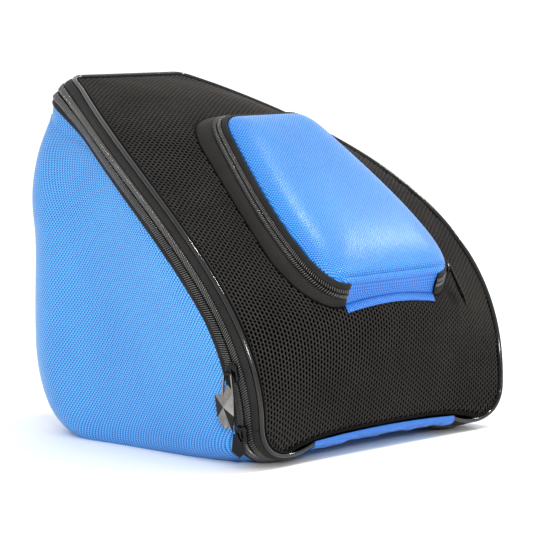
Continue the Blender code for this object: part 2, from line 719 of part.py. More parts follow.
FINISHES = {
    "nylon": ((0.03, 0.22, 0.75), 0.55, 0.0),
    "moulded": ((0.04, 0.26, 0.80), 0.50, 0.0),
    "mesh": ((0.015, 0.015, 0.016), 0.85, 0.0),
    "tape": ((0.02, 0.02, 0.022), 0.75, 0.0),
    "coil": ((0.03, 0.03, 0.032), 0.45, 0.0),
    "piping": ((0.01, 0.01, 0.012), 0.20, 0.0),
    "webbing": ((0.02, 0.02, 0.022), 0.70, 0.0),
    "grip": ((0.03, 0.03, 0.033), 0.60, 0.0),
    "foam": ((0.25, 0.25, 0.27), 0.90, 0.0),
    "board": ((0.18, 0.18, 0.19), 0.70, 0.0),
    "metal": ((0.12, 0.12, 0.14), 0.25, 1.0),
    "metal_dark": ((0.02, 0.02, 0.022), 0.35, 0.6),
}
HINGE = (0.0, HINGE_Y, HINGE_Z)


def build():
    """Clear the scene and make every piece."""
    for old in list(bpy.data.objects):
        bpy.data.objects.remove(old, do_unlink=True)
    side_panels()
    back_panel()
    base_panel()
    base_board()
    back_pad()
    zip_band()
    lid_panel()
    hinge_strip()
    pocket_walls()
    pocket_flap()
    main_sliders()
    pocket_slider_parts()
    zip_stops()
    handle()


build()
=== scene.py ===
"""Looks of the ski boot bag: cloth, mesh, zips and hardware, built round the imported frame.

Lengths are in metres in the frame's own axes: X right, -Y front, Z up.  Curves are cubic,
given by four control points as shares of the frame's own boxes.
"""

import json
import math

import bmesh
import bpy
import numpy as np
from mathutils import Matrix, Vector
from mathutils.bvhtree import BVHTree


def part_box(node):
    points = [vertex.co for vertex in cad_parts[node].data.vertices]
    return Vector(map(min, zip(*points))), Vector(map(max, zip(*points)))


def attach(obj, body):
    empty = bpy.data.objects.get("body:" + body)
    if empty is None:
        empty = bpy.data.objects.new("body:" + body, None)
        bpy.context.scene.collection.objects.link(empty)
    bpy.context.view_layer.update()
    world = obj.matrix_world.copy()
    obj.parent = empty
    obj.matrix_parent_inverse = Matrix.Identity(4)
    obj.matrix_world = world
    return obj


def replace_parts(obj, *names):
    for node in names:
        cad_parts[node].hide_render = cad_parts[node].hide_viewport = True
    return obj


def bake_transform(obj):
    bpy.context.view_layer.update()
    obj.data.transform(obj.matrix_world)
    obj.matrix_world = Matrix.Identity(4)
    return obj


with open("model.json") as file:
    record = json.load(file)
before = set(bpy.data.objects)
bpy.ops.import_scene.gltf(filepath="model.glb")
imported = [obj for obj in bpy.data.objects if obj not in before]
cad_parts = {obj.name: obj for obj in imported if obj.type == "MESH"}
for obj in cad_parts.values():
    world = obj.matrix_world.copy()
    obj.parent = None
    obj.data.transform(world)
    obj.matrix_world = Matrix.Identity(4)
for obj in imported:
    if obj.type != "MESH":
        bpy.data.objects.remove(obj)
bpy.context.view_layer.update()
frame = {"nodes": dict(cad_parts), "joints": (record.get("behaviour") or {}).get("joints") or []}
JOINTS = {joint["name"]: joint for joint in frame["joints"]}
RANDOM = np.random.default_rng(7)

# ---------------------------------------------------------------- sizes read from the frame

# Radius of the lid's piping, and the CAD boxes that give the bag's main sizes
PIPING = 0.002
PIPING_LOW, PIPING_HIGH = (np.array(corner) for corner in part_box("lid_piping"))
HALF = PIPING_HIGH[0] - PIPING
FRONT = PIPING_LOW[1] + PIPING
DEPTH = PIPING_HIGH[1] - PIPING - FRONT
TOP = PIPING_HIGH[2] - PIPING
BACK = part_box("back_panel")[1].y
SHELL_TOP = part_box("back_panel")[1].z
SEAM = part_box("back_panel")[1].x
MIDDLE = np.array((0.0, 0.0, TOP * 0.36))

# Shares of (HALF, DEPTH, TOP): right half of the lid's rim, from the hinge strip to the top edge
RIM_FOOT = ((0.5426, 0.0094, 0.0509), (0.7447, 0.0094, 0.0060), (0.9574, 0.0, 0.0299), (0.9574, 0.0, 0.1228))
RIM_SIDE = ((0.9574, 0.0, 0.1228), (0.9734, 0.0, 0.4521), (1.1809, 0.3082, 0.7186), (0.5053, 0.9119, 0.9671))
RIM_TOP = ((0.5053, 0.9119, 0.9671), (0.4521, 0.9623, 0.985), (0.4362, 1.0, 1.0), (0.3511, 1.0, 1.0))
# Shares of (DEPTH, TOP): the lid's middle line, up the front, under the pocket, over to the top
MIDDLE_FRONT = ((0.0031, 0.0674), (-0.0126, 0.2096), (-0.0755, 0.3653), (0.0053, 0.4368))
MIDDLE_POCKET = ((0.0053, 0.4368), (0.1667, 0.5778), (0.327, 0.7186), (0.4874, 0.8578))
MIDDLE_TOP = ((0.4874, 0.8578), (0.5692, 0.9281), (0.783, 0.9731), (0.9921, 0.9955))

# Zip band: how it leans from level, flares near the floor, fans out at the top corners and swells
FOOT_LEAN = math.radians(24)
TOP_LEAN = math.radians(55)
FLARE = math.radians(9)
FLARE_HEIGHT = 0.090
FLARE_REACH = 0.055
CORNER_FAN = 0.62
CORNER_AT = 0.45
CORNER_REACH = 0.10
BAND_SWELL = 0.0040
SWELL_START = 0.70

# Lid: how round its flanks are, how high its level foot reaches, how even its rows are
LID_FLANK = 1.1
FOOT_REACH = 0.060
EVEN_ROWS = 0.25

# Zip band, measured across from the piping
LID_TAPE = (0.0022, 0.0110)
LID_COIL = (0.0106, 0.0187)
BODY_COIL = (0.0189, 0.0270)
BODY_TAPE = (0.0262, 0.0312)

# How far each pull hangs across the band from its slider's middle
UPPER_PULL_ASIDE = 0.0022
LOWER_PULL_ASIDE = 0.0055

# Teeth: height of their bed, then their own height over the band, pitch, length, width and thickness
TOOTH_LEAN = 0.45
MAIN_TEETH = (0.0004, 0.0002, 0.00235, 0.0078, 0.0015, 0.0019)
POCKET_TOOTH_LEAN = 0.35
POCKET_TEETH = (0.0003, 0.0001, 0.0020, 0.0044, 0.0013, 0.0015)

# Pocket: a frame on the sloping face, with p running up the slope and n out of it
POCKET_SLOPE = math.radians(42.5)
POCKET_HINGE = np.array(JOINTS["pocket_hinge"]["pos_m"])
POCKET_UP = np.array((0.0, math.cos(POCKET_SLOPE), math.sin(POCKET_SLOPE)))
POCKET_OUT = np.array((0.0, -math.sin(POCKET_SLOPE), math.cos(POCKET_SLOPE)))
POCKET_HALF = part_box("pocket_flap")[1].x
POCKET_LENGTH = 0.211
WALL_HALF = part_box("pocket_hinge_wall")[1].x
POCKET_CORNER = ((0.702, 0.0), (0.915, 0.0), (1.0, 0.0948), (1.0, 0.2133))
POCKET_SIDE = ((1.0, 0.2133), (1.0, 0.4265), (0.8617, 0.6398), (0.7128, 0.8626))
POCKET_TOP = ((0.7128, 0.8626), (0.6596, 0.9479), (0.5957, 1.0), (0.4255, 1.0))
WALL_FLARE = 0.42
WALL_HEM = 0.0060
HEM_SHARE = 0.975
SIDE_FLARE = 0.85
POCKET_TAPE = (0.0022, 0.0080)
POCKET_UPPER_COIL = (0.0078, 0.0122)
POCKET_LOWER_COIL = (0.0124, 0.0168)
POCKET_GUSSET_START = 0.0166

# Pocket's cover: its dome's height, its edge's depth, its middle up the slope, and the groove at its foot
POCKET_DOME = 0.0138
COVER_SINK = 0.0020
COVER_MIDDLE = 0.105
COVER_THICK = 0.0026
COVER_GROOVE = 0.0042
COVER_GROOVE_HALF = 0.080

# Sliders: height over the zip band, and how far the pocket's pull swings out
SLIDER_RIDE = 0.0032
POCKET_PULL_SWING = math.radians(19)

# Stitches: pitch, length, then width and height; thickness of cloth and of bindings
STITCH_PITCH = 0.0034
STITCH_LENGTH = 0.0024
STITCH_SECTION = (0.0007, 0.00045)
CLOTH_THICK = 0.0012
BINDING_THICK = 0.0006

# Facets of the upper pull, counted round its outline, that take the black material
DARK_FACETS = (2, 6)

# Strip along the lid's foot
STRIP_ARCH = 0.0030
STRIP_HEIGHT = 0.0090

# Soft cloth of the shell, the front tongue of its base and the margins that meet the walls
CLOTH_WAVE = 0.0011
CLOTH_PUCKER = 0.0005
PUCKER_REACH = 0.016
PUCKER_TURNS = 420.0
TOP_TUCK = 0.007
TONGUE_LIFT = 0.0068
TONGUE_HALF = 0.094
TONGUE_BACK = -0.10
TONGUE_RAMP = 0.06
BASE_MARGIN = 0.0035
MARGIN_START = 0.08
MARGIN_BACK = 0.09

# Pad inside the back: the most it swells, its stitched grooves, and the cloth simulation that fills it
PAD_SWELL = 0.0060
PAD_GROOVE = 0.0055
PAD_VOXEL = 0.004
PAD_PRESSURE = 4.0
SWELL_STEPS = 20

# Edges of a CAD node that stay sharp when it is refined
SHARP = math.radians(50)

# Back: seam piping, the facing under the zip, quilted channels
SEAM_PIPING = 0.0022
PIPING_START = 0.0045
SEAM_ASIDE = 0.0050
FACING_DROP = 0.016
FACING_START = 0.060
CHANNEL = 0.046
CHANNEL_TOP = 0.215
CHANNELS = 4
CHANNEL_SWELL = 0.0045

# Ribs of the handle's grip
GRIP_RIB = 0.0009
GRIP_RIB_PITCH = 0.0050

# Spacer mesh: pitch of its holes, their size at the mouth and the throat, and the heights of its rings
HOLE_COLUMN = 0.0038
HOLE_ROW = 0.0046
HOLE_MOUTH = (0.66, 0.78)
HOLE_THROAT = (0.72, 0.84)
HOLE_DEPTHS = (0.0006, 0.0001, -0.0011)
MESH_MARGIN = 0.0010
MESH_JITTER = 0.00009

# Seam on the lid's binding: distance in from the edge, height over the mesh
BINDING_SEAM = (0.0026, 0.0011)


# ---------------------------------------------------------------- curves and frames

def cubic(points, count):
    """Points along a cubic curve."""
    start, first, second, end = (np.array(p, dtype=float) for p in points)
    t = np.linspace(0.0, 1.0, count)[:, None]
    return (1 - t) ** 3 * start + 3 * (1 - t) ** 2 * t * first + 3 * (1 - t) * t * t * second + t ** 3 * end


def chain(*pieces):
    """Join curves that start where the last one ended."""
    return np.vstack([pieces[0]] + [piece[1:] for piece in pieces[1:]])


def lengths(path):
    """Distance along a path at each of its points."""
    steps = np.linalg.norm(np.diff(path, axis=0), axis=1)
    return np.concatenate(([0.0], np.cumsum(steps)))


def at_lengths(values, along, wanted):
    """Values of a path at the wanted distances along it."""
    return np.stack([np.interp(wanted, along, values[:, k]) for k in range(values.shape[1])], axis=1)


def unit(vectors):
    """Vectors scaled to length one."""
    return vectors / np.linalg.norm(vectors, axis=-1, keepdims=True)


def mirrored(vectors):
    """Vectors on the other side of the bag's middle plane."""
    return vectors * np.array((-1.0, 1.0, 1.0))


def both_sides(right):
    """A path over the right half followed to the left half, from one end to the other."""
    return np.vstack([right, mirrored(right[-2::-1])])


def smoothed(values, rounds):
    """A path with its kinks evened out, its two ends kept."""
    values = values.copy()
    for _ in range(rounds):
        values[1:-1] = (values[:-2] + 2 * values[1:-1] + values[2:]) / 4
    return values


def circle(radius, count, aside=0.0):
    """Points round a circle as (across, out), moved across by aside."""
    turn = np.linspace(0.0, 2 * math.pi, count, endpoint=False)
    return [(radius * math.cos(a) + aside, radius * math.sin(a)) for a in turn]


class Band:
    """A path with its frame: along it, across the band that follows it, and out of the bag."""

    def __init__(self, point, across):
        self.point = point
        self.along = unit(np.gradient(point, axis=0))
        across = across - np.sum(across * self.along, axis=1, keepdims=True) * self.along
        self.across = unit(across)
        self.out = unit(np.cross(self.across, self.along))
        self.distance = lengths(point)
        self.swell = np.zeros(len(point))

    def offset(self, across, out=0.0):
        """The path moved across the band and out of it, over the swell of the band."""
        swell = self.swell * math.sin(math.pi * min(max(across / BODY_TAPE[1], 0.0), 1.0))
        return self.point + across * self.across + (out + swell)[:, None] * self.out

    def part(self, keep):
        """The stretch of the band where keep holds."""
        cut = Band.__new__(Band)
        for name in ("point", "along", "across", "out", "swell"):
            setattr(cut, name, getattr(self, name)[keep])
        cut.distance = lengths(cut.point)
        return cut

    def spaced(self, pitch, across, out):
        """Centres moved across and out, with along, across and out there, evenly along the band."""
        wanted = np.arange(pitch / 2, self.distance[-1], pitch)
        values = (self.offset(across, out), self.along, self.across, self.out)
        centres, *axes = (at_lengths(v, self.distance, wanted) for v in values)
        return centres, *(unit(axis) for axis in axes)


def rim_half(count):
    """Right half of the rim, with how far the zip band leans from level at each point."""
    pieces = [cubic(RIM_FOOT, 60), cubic(RIM_SIDE, 200), cubic(RIM_TOP, 40)]
    edge = np.linspace(RIM_TOP[3], (0.0, 1.0, 1.0), 40)
    path = chain(*pieces, edge) * (HALF, DEPTH, TOP)
    slope = np.gradient(pieces[1] * (HALF, DEPTH, TOP), axis=0)
    side_lean = np.arctan2(slope[:, 1], slope[:, 2])
    lean = np.concatenate([
        np.linspace(FOOT_LEAN, 0.0, len(pieces[0])),
        side_lean[1:],
        np.linspace(side_lean[-1], TOP_LEAN, len(pieces[2]))[1:],
        np.full(len(edge) - 1, TOP_LEAN),
    ])
    along = lengths(path)
    even = np.linspace(0.0, along[-1], count)
    path = at_lengths(path, along, even) + (0.0, FRONT, 0.0)
    return path, np.interp(even, along, lean)


def make_rim(count=260):
    """The whole rim with its frame."""
    path, lean = rim_half(count)
    flare = np.clip(1 - np.abs(path[:, 2] - FLARE_HEIGHT) / FLARE_REACH, 0.0, 1.0) * FLARE
    corner = CORNER_FAN * np.exp(-((path[:, 0] / HALF - CORNER_AT) / CORNER_REACH) ** 2)
    corner *= path[:, 2] > TOP / 2
    across = unit(np.stack([np.tan(flare) + corner, np.cos(lean), -np.sin(lean)], axis=1))
    rim = Band(both_sides(path), both_sides(smoothed(across, 12)))
    height = np.clip((rim.point[:, 2] / TOP - SWELL_START) / (1 - SWELL_START), 0.0, 1.0)
    rim.swell = BAND_SWELL * height
    return rim


RIM = make_rim()


# ---------------------------------------------------------------- mesh building

def linked(name, data):
    """A new object in the scene."""
    made = bpy.data.objects.new(name, data)
    bpy.context.scene.collection.objects.link(made)
    return made


def add_mesh(name, points, faces, look, body, smooth=True):
    """A piece made of points and faces, riding on a body."""
    mesh = bpy.data.meshes.new(name)
    mesh.from_pydata(np.asarray(points, dtype=float).reshape(-1, 3).tolist(), [], faces)
    if smooth:
        mesh.shade_smooth()
    mesh.materials.append(look)
    made = linked(name, mesh)
    if body:
        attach(made, body)
    return made


def grid_faces(rows, columns, start=0, closed=False):
    """Quads of a grid of points; closed joins the last column to the first."""
    at = start + np.arange(rows * columns).reshape(rows, columns)
    if closed:
        at = np.concatenate([at, at[:, :1]], axis=1)
    quads = np.stack([at[:-1, :-1], at[:-1, 1:], at[1:, 1:], at[1:, :-1]], axis=-1)
    return quads.reshape(-1, 4).tolist()


def face_out(made):
    """Turn every face outward."""
    shape = bmesh.new()
    shape.from_mesh(made.data)
    bmesh.ops.recalc_face_normals(shape, faces=shape.faces)
    shape.to_mesh(made.data)
    shape.free()
    return made


def lofted(name, sections, look, body, smooth=True):
    """A closed solid through closed outlines of as many points each."""
    rows, columns = sections.shape[:2]
    faces = grid_faces(rows, columns, closed=True)
    faces += [list(range(columns)), list(range((rows - 1) * columns, rows * columns))]
    return face_out(add_mesh(name, sections, faces, look, body, smooth))


def ribbon(name, band, profile, look, body):
    """A strip with the given profile, a list of (across, out), swept along a band."""
    sections = np.stack([band.offset(across, out) for across, out in profile], axis=1)
    return lofted(name, sections, look, body)


def domed(near, far, low, high, count=9):
    """Profile of a strip with a rounded top: (across, out) points from near to far and back."""
    turn = np.linspace(0.0, math.pi, count)
    middle, half = (near + far) / 2, (far - near) / 2
    top = [(middle - half * math.cos(a), low + (high - low) * math.sin(a) ** 0.6) for a in turn]
    return top + [(far, low - BINDING_THICK), (near, low - BINDING_THICK)]


def edge_faces(border, shift):
    """Quads that join a closed border to its copy, whose points are numbered shift higher."""
    following = np.roll(border, -1)
    return np.stack([border, following, following + shift, border + shift], axis=1).tolist()


def slab(name, outer, thick, look, body, outward=None):
    """A sheet with thickness from a grid of points; inside lies thick behind the outside."""
    inner = outer - thick * grid_normals(outer, outward)
    rows, columns = outer.shape[:2]
    shift = rows * columns
    at = np.arange(shift).reshape(rows, columns)
    border = np.concatenate([at[0, :-1], at[:-1, -1], at[-1, :0:-1], at[:0:-1, 0]])
    faces = grid_faces(rows, columns) + grid_faces(rows, columns, shift) + edge_faces(border, shift)
    return face_out(add_mesh(name, np.stack([outer, inner]), faces, look, body))


def grid_normals(grid, outward=None):
    """Unit normals of a grid of points, turned away from the bag's middle or towards outward."""
    facing = unit(np.cross(np.gradient(grid, axis=0), np.gradient(grid, axis=1)) + 1e-15)
    aim = grid - MIDDLE if outward is None else np.broadcast_to(outward, grid.shape)
    return facing if np.sum(facing * aim) > 0 else -facing


def bumps(name, centres, along, across, out, length, width, height, look, body, slot, tilt=0.0):
    """Many small rounded bars, such as zip teeth or stitches, as one piece.

    Each bar lies across, rounded along and out, and is turned by tilt towards along.
    """
    share = np.array((-1.0, -0.8, 0.0, 0.8, 1.0))
    swell = np.array((0.35, 0.9, 1.0, 0.9, 0.35))
    turn = np.linspace(0.0, math.pi, 6)
    reach = share[:, None] * length / 2 * np.ones(len(turn))
    side = swell[:, None] * width / 2 * np.cos(turn)
    rise = swell[:, None] * height * np.sin(turn)
    axis = math.cos(tilt) * across + math.sin(tilt) * along
    flank = math.cos(tilt) * along - math.sin(tilt) * across
    points = (centres[:, None, None] + reach[None, :, :, None] * axis[:, None, None]
              + side[None, :, :, None] * flank[:, None, None] + rise[None, :, :, None] * out[:, None, None])
    cap = np.array([[0, 1, 4, 5], [1, 2, 3, 4]])
    one = np.concatenate([grid_faces(len(share), len(turn)), cap, cap + (len(share) - 1) * len(turn)])
    shifts = np.arange(len(centres)) * reach.size
    every = (one[None] + shifts[:, None, None]).reshape(-1, 4).tolist()
    return face_out(add_mesh(name, points, every, look, body))


def row_of_bumps(name, band, across, out, pitch, length, width, height, look, body, slot, tilt=0.0):
    """Bumps evenly along a band, each lying across it."""
    centres, along, side, face = band.spaced(pitch, across, out)
    return bumps(name, centres, along, side, face, length, width, height, look, body, slot, tilt)


def stitches(name, band, across, out, look, body, slot, pitch=STITCH_PITCH, length=STITCH_LENGTH):
    """A seam of small stitches that follow a band."""
    centres, along, side, face = band.spaced(pitch, across, out)
    return bumps(name, centres, side, along, face, length, *STITCH_SECTION, look, body, slot)


def paint(mesh, look):
    """Give a mesh one material."""
    mesh.materials.clear()
    mesh.materials.append(look)


def final_mesh(made):
    """The mesh of a piece with its modifiers applied."""
    bpy.context.view_layer.update()
    return bpy.data.meshes.new_from_object(made.evaluated_get(bpy.context.evaluated_depsgraph_get()))


def applied(made, kind, **settings):
    """Add a modifier to a piece and apply it."""
    modifier = made.modifiers.new("shape", kind)
    for key, value in settings.items():
        setattr(modifier, key, value)
    made.data = final_mesh(made)
    made.modifiers.clear()


def points_of(mesh):
    """The points of a mesh as an array."""
    return np.array([vertex.co for vertex in mesh.vertices])


def reshape(made, change):
    """Move a piece's points by a function of its points and normals."""
    normals = np.array([vertex.normal for vertex in made.data.vertices])
    made.data.vertices.foreach_set("co", change(points_of(made.data), normals).ravel())
    made.data.update()


def refined(node, name, look, body, levels=2, change=None):
    """A finer, smoother copy of a CAD node that stands for it, shaped further by a function of its points."""
    mesh = frame["nodes"][node].data.copy()
    shape = bmesh.new()
    shape.from_mesh(mesh)
    bmesh.ops.remove_doubles(shape, verts=shape.verts, dist=0.00002)
    bmesh.ops.join_triangles(shape, faces=shape.faces, angle_face_threshold=0.7, angle_shape_threshold=1.2)
    bmesh.ops.recalc_face_normals(shape, faces=shape.faces)
    crease = shape.edges.layers.float.new("crease_edge")
    for edge in shape.edges:
        if len(edge.link_faces) == 2 and edge.calc_face_angle() > SHARP:
            edge[crease] = 1.0
    shape.to_mesh(mesh)
    shape.free()
    made = linked(name, mesh)
    applied(made, "SUBSURF", levels=levels, render_levels=levels)
    if change:
        reshape(made, change)
    paint(made.data, look)
    made.data.shade_smooth()
    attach(made, body)
    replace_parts(made, node)
    return made


def soft_cloth(points, normals):
    """Slack waves in the shell's cloth, deepest halfway up, and puckers where it meets the zip."""
    x, y, z = points.T
    girth = y - np.abs(x)
    wave = np.sin(girth * 24.0 + 2.0 * np.sin(z * 17.0)) * np.sin(z * 21.0 + girth * 9.0)
    rise = np.clip(z / SHELL_TOP, 0.0, 1.0)
    depth = CLOTH_WAVE * np.sin(math.pi * rise) ** 0.8
    rim_y = np.interp(z, *shell_front())
    near_zip = np.exp(-np.clip(y - rim_y, 0.0, None) / PUCKER_REACH)
    pucker = CLOTH_PUCKER * near_zip * np.sin(z * PUCKER_TURNS + y * PUCKER_TURNS)
    moved_out = points + (depth * wave + pucker)[:, None] * normals
    moved_out[:, 2] -= TOP_TUCK * np.clip((z - SHELL_TOP + 0.04) / 0.04, 0.0, 1.0) ** 1.5
    moved_out[:, 2] = np.maximum(moved_out[:, 2], points[:, 2].min())
    return moved_out


def shell_front():
    """Heights and depths of the line where the side cloth meets the zip band."""
    line = RIM.offset(BODY_TAPE[1])[: len(RIM.point) // 2]
    lowest = int(np.argmin(line[:, 2]))
    return line[lowest:, 2], line[lowest:, 1]


def raised_tongue(points, _):
    """The base cloth with its front tongue lifted level, and its margins carried out to the walls."""
    x, y, _ = points.T
    ramp = np.clip((TONGUE_BACK - y) / TONGUE_RAMP, 0.0, 1.0)
    lift = TONGUE_LIFT * (x / TONGUE_HALF) ** 2 * ramp
    moved_points = points.copy()
    moved_points[:, 2] += np.minimum(lift, TONGUE_LIFT)
    beside = (y > TONGUE_BACK + TONGUE_RAMP / 2) & (np.abs(x) > MARGIN_START)
    moved_points[:, 0] += BASE_MARGIN * np.sign(x) * beside
    moved_points[:, 1] += BASE_MARGIN * (y > BACK - MARGIN_BACK)
    return moved_points


def quilted_back(points, normals):
    """The back's cloth with level padded channels below the handle."""
    shaped = soft_cloth(points, normals)
    x, _, z = points.T
    inner = np.clip((SEAM - 0.006 - np.abs(x)) / 0.012, 0.0, 1.0)
    share = np.abs(np.sin(math.pi * (CHANNEL_TOP - z) / CHANNEL)) ** 0.6
    below = np.clip((CHANNEL_TOP - z) / 0.004, 0.0, 1.0)
    outside = normals[:, 1] > 0.2
    shaped += (CHANNEL_SWELL * share * inner ** 0.5 * below * outside)[:, None] * normals
    shaped[:, 2] = np.maximum(shaped[:, 2], z.min())
    return shaped


def swollen(made):
    """Swell a padded piece with a short cloth simulation, each point held near its start."""
    applied(made, "REMESH", mode="VOXEL", voxel_size=PAD_VOXEL)
    start = points_of(made.data)
    cloth = made.modifiers.new("swell", "CLOTH")
    cloth.settings.use_pressure = True
    cloth.settings.uniform_pressure_force = PAD_PRESSURE
    cloth.settings.effector_weights.gravity = 0.0
    for step in range(1, SWELL_STEPS + 1):
        bpy.context.scene.frame_set(step)
    end = points_of(final_mesh(made))
    made.modifiers.clear()
    bpy.context.scene.frame_set(1)
    moved_by = end - start
    far = np.linalg.norm(moved_by, axis=1, keepdims=True)
    settled = start + moved_by * np.minimum(1.0, PAD_SWELL / np.maximum(far, 1e-9))
    settled[:, 1] = np.minimum(settled[:, 1], start[:, 1].max())
    made.data.vertices.foreach_set("co", settled.ravel())
    applied(made, "SUBSURF", levels=1)
    made.data.shade_smooth()


def cushion(points, normals):
    """The pad inside the back, pressed in along its quilting seams."""
    z = points[:, 2]
    away = np.abs((CHANNEL_TOP - z + CHANNEL / 2) % CHANNEL - CHANNEL / 2)
    inside = normals[:, 1] < 0.0
    pressed = points.copy()
    pressed[:, 1] += PAD_GROOVE * np.exp(-(away / 0.004) ** 2) * inside
    return pressed


def cloth_tree(pieces):
    """A search tree over the faces of some pieces."""
    points, faces = [], []
    for piece in pieces:
        start = len(points)
        points += [vertex.co for vertex in piece.data.vertices]
        faces += [[start + v for v in polygon.vertices] for polygon in piece.data.polygons]
    return BVHTree.FromPolygons(points, faces)


def on_cloth(tree, places):
    """Points on the outside of the back's cloth at some (x, z) places; misses are left out."""
    hits = [tree.ray_cast(Vector((x, BACK + 0.1, z)), Vector((0.0, -1.0, 0.0)))[0] for x, z in places]
    return np.array([tuple(hit) for hit in hits if hit is not None])


def seam_piping(back):
    """Piping down the seams between the back and the sides, following the back's cloth."""
    tree = cloth_tree([back])
    heights = np.linspace(PIPING_START, SHELL_TOP - TOP_TUCK - 0.002, 70)
    for side, name in ((1, "right"), (-1, "left")):
        line = on_cloth(tree, [(side * (SEAM - 0.002), z) for z in heights])
        line[:, 0] = side * SEAM
        line[:, 1] += 0.0004
        band = Band(smoothed(line, 3), (1.0, 0.0, 0.0))
        ribbon("back_seam_piping_" + name, band, circle(SEAM_PIPING, 12), GLOSS, "bag")
        for across, place in ((-SEAM_ASIDE, "_near"), (SEAM_ASIDE, "_far")):
            stitches("back_seam_" + name + place, band, across, 0.0002, BLUE_THREAD, "bag", "nylon")


def rim_facing(pieces):
    """The cloth facing that joins the zip's lower tape to the top of the shell, above the front corners."""
    tree = cloth_tree(pieces)
    upper = RIM.part(np.flatnonzero(RIM.point[:, 2] > FACING_START))
    start = upper.offset(BODY_TAPE[1] - 0.0015, -0.0004)
    aim = upper.offset(BODY_TAPE[1] + 0.004, -0.002) - np.array((0.0, 0.0, FACING_DROP))
    ends = []
    for point in aim:
        place, normal, _, _ = tree.find_nearest(Vector(point))
        ends.append(np.array(place) - 0.0006 * np.array(normal))
    ends = smoothed(np.array(ends), 6)
    share = np.linspace(0.0, 1.0, 9)[:, None, None]
    rows = start * (1 - share) + ends * share
    slab("rim_facing", rows, CLOTH_THICK, NYLON, "bag")


# ---------------------------------------------------------------- materials

class Look:
    """A material with a few shorthands for its nodes."""

    def __init__(self, name, roughness, metallic=0.0, **sockets):
        self.material = bpy.data.materials.new(name)
        self.material.use_nodes = True
        self.tree = self.material.node_tree
        self.shader = self.tree.nodes["Principled BSDF"]
        self.shader.inputs["Roughness"].default_value = roughness
        self.shader.inputs["Metallic"].default_value = metallic
        for socket, value in sockets.items():
            self.shader.inputs[socket.replace("_", " ")].default_value = value
        coordinates = self.tree.nodes.new("ShaderNodeTexCoord")
        self.place = coordinates.outputs["Object"]

    def node(self, kind, inputs=None, **settings):
        """Add a node; an input is a value or another node's output."""
        made = self.tree.nodes.new("ShaderNode" + kind)
        for key, value in settings.items():
            setattr(made, key, value)
        for key, value in (inputs or {}).items():
            if isinstance(value, bpy.types.NodeSocket):
                self.tree.links.new(value, made.inputs[key])
            else:
                made.inputs[key].default_value = value
        return made.outputs[0]

    def maths(self, operation, first, second=0.0, third=0.0):
        """Arithmetic on one to three values."""
        return self.node("Math", {0: first, 1: second, 2: third}, operation=operation)

    def mixed(self, first, share, second, rest):
        """One output times its share plus another times the rest."""
        return self.maths("MULTIPLY_ADD", first, share, self.maths("MULTIPLY", second, rest))

    def axes(self):
        """X, Y and Z of the rest position."""
        split = self.tree.nodes.new("ShaderNodeSeparateXYZ")
        self.tree.links.new(self.place, split.inputs[0])
        return split.outputs[0], split.outputs[1], split.outputs[2]

    def noise(self, scale, detail=3.0, roughness=0.55):
        """Cloudy variation from 0 to 1."""
        return self.node("TexNoise", {"Vector": self.place, "Scale": scale, "Detail": detail,
                                      "Roughness": roughness})

    def wave(self, value, pitch):
        """A sine from 0 to 1 with the given pitch."""
        turned = self.maths("MULTIPLY", value, 2 * math.pi / pitch)
        return self.maths("MULTIPLY_ADD", self.maths("SINE", turned), 0.5, 0.5)

    def blend(self, share, low, high):
        """A colour between two, by a share from 0 to 1."""
        mixed = self.tree.nodes.new("ShaderNodeMix")
        mixed.data_type = "RGBA"
        mixed.inputs[6].default_value = (*low, 1.0)
        mixed.inputs[7].default_value = (*high, 1.0)
        self.tree.links.new(share, mixed.inputs[0])
        return mixed.outputs[2]

    def finish(self, share, dark, light, worn, smoothest, roughest, relief, depth):
        """Set colour, roughness and relief from outputs that run from 0 to 1."""
        self.tree.links.new(self.blend(share, dark, light), self.shader.inputs["Base Color"])
        spread = self.node("MapRange", {"Value": worn, "To Min": smoothest, "To Max": roughest})
        self.tree.links.new(spread, self.shader.inputs["Roughness"])
        bump = self.node("Bump", {"Height": relief, "Distance": depth, "Strength": 1.0})
        self.tree.links.new(bump, self.shader.inputs["Normal"])
        return self.material


def weave(look, first, second, pitch):
    """A plain weave: threads over and under in turn along two directions."""
    half = pitch / 2
    across = look.wave(first, half)
    along = look.wave(second, half)
    turns = [look.maths("SINE", look.maths("MULTIPLY", way, math.pi / half)) for way in (first, second)]
    checks = look.maths("MULTIPLY", *turns)
    over = look.maths("MULTIPLY_ADD", checks, 0.5, 0.5)
    threads = look.maths("MULTIPLY", look.maths("ADD", across, along), 0.5)
    return look.mixed(over, 0.6, threads, 0.4)


def woven(name, dark, light, pitch, roughness, girth=True, depth=0.0004):
    """Woven cloth whose threads run round the bag and up it; the light colour on the thread crowns is a
    painted highlight and the dark colour between them painted shade.
    """
    look = Look(name, roughness, Sheen_Weight=0.05, Sheen_Roughness=0.45)
    x, y, z = look.axes()
    round_the_bag = look.maths("SUBTRACT", y, look.maths("ABSOLUTE", x)) if girth else x
    up = z if girth else look.maths("ADD", y, z)
    threads = weave(look, round_the_bag, up, pitch)
    cloud = look.noise(9.0)
    fibre = look.noise(900.0, 2.0)
    # Crowns of the weave take the light colour as painted highlight, the hollows the dark colour as painted
    # shade; cloud and fibre add random tone.
    crowns = look.node("MapRange", {"Value": threads, "From Min": 0.34, "From Max": 0.66})
    wear = look.maths("MULTIPLY_ADD", cloud, 0.22, look.maths("MULTIPLY_ADD", fibre, 0.16, -0.10))
    share = look.maths("MULTIPLY_ADD", crowns, 0.80, wear)
    relief = look.maths("MULTIPLY_ADD", fibre, 0.25, crowns)
    return look.finish(share, dark, light, fibre, roughness - 0.08, roughness + 0.12, relief, depth)


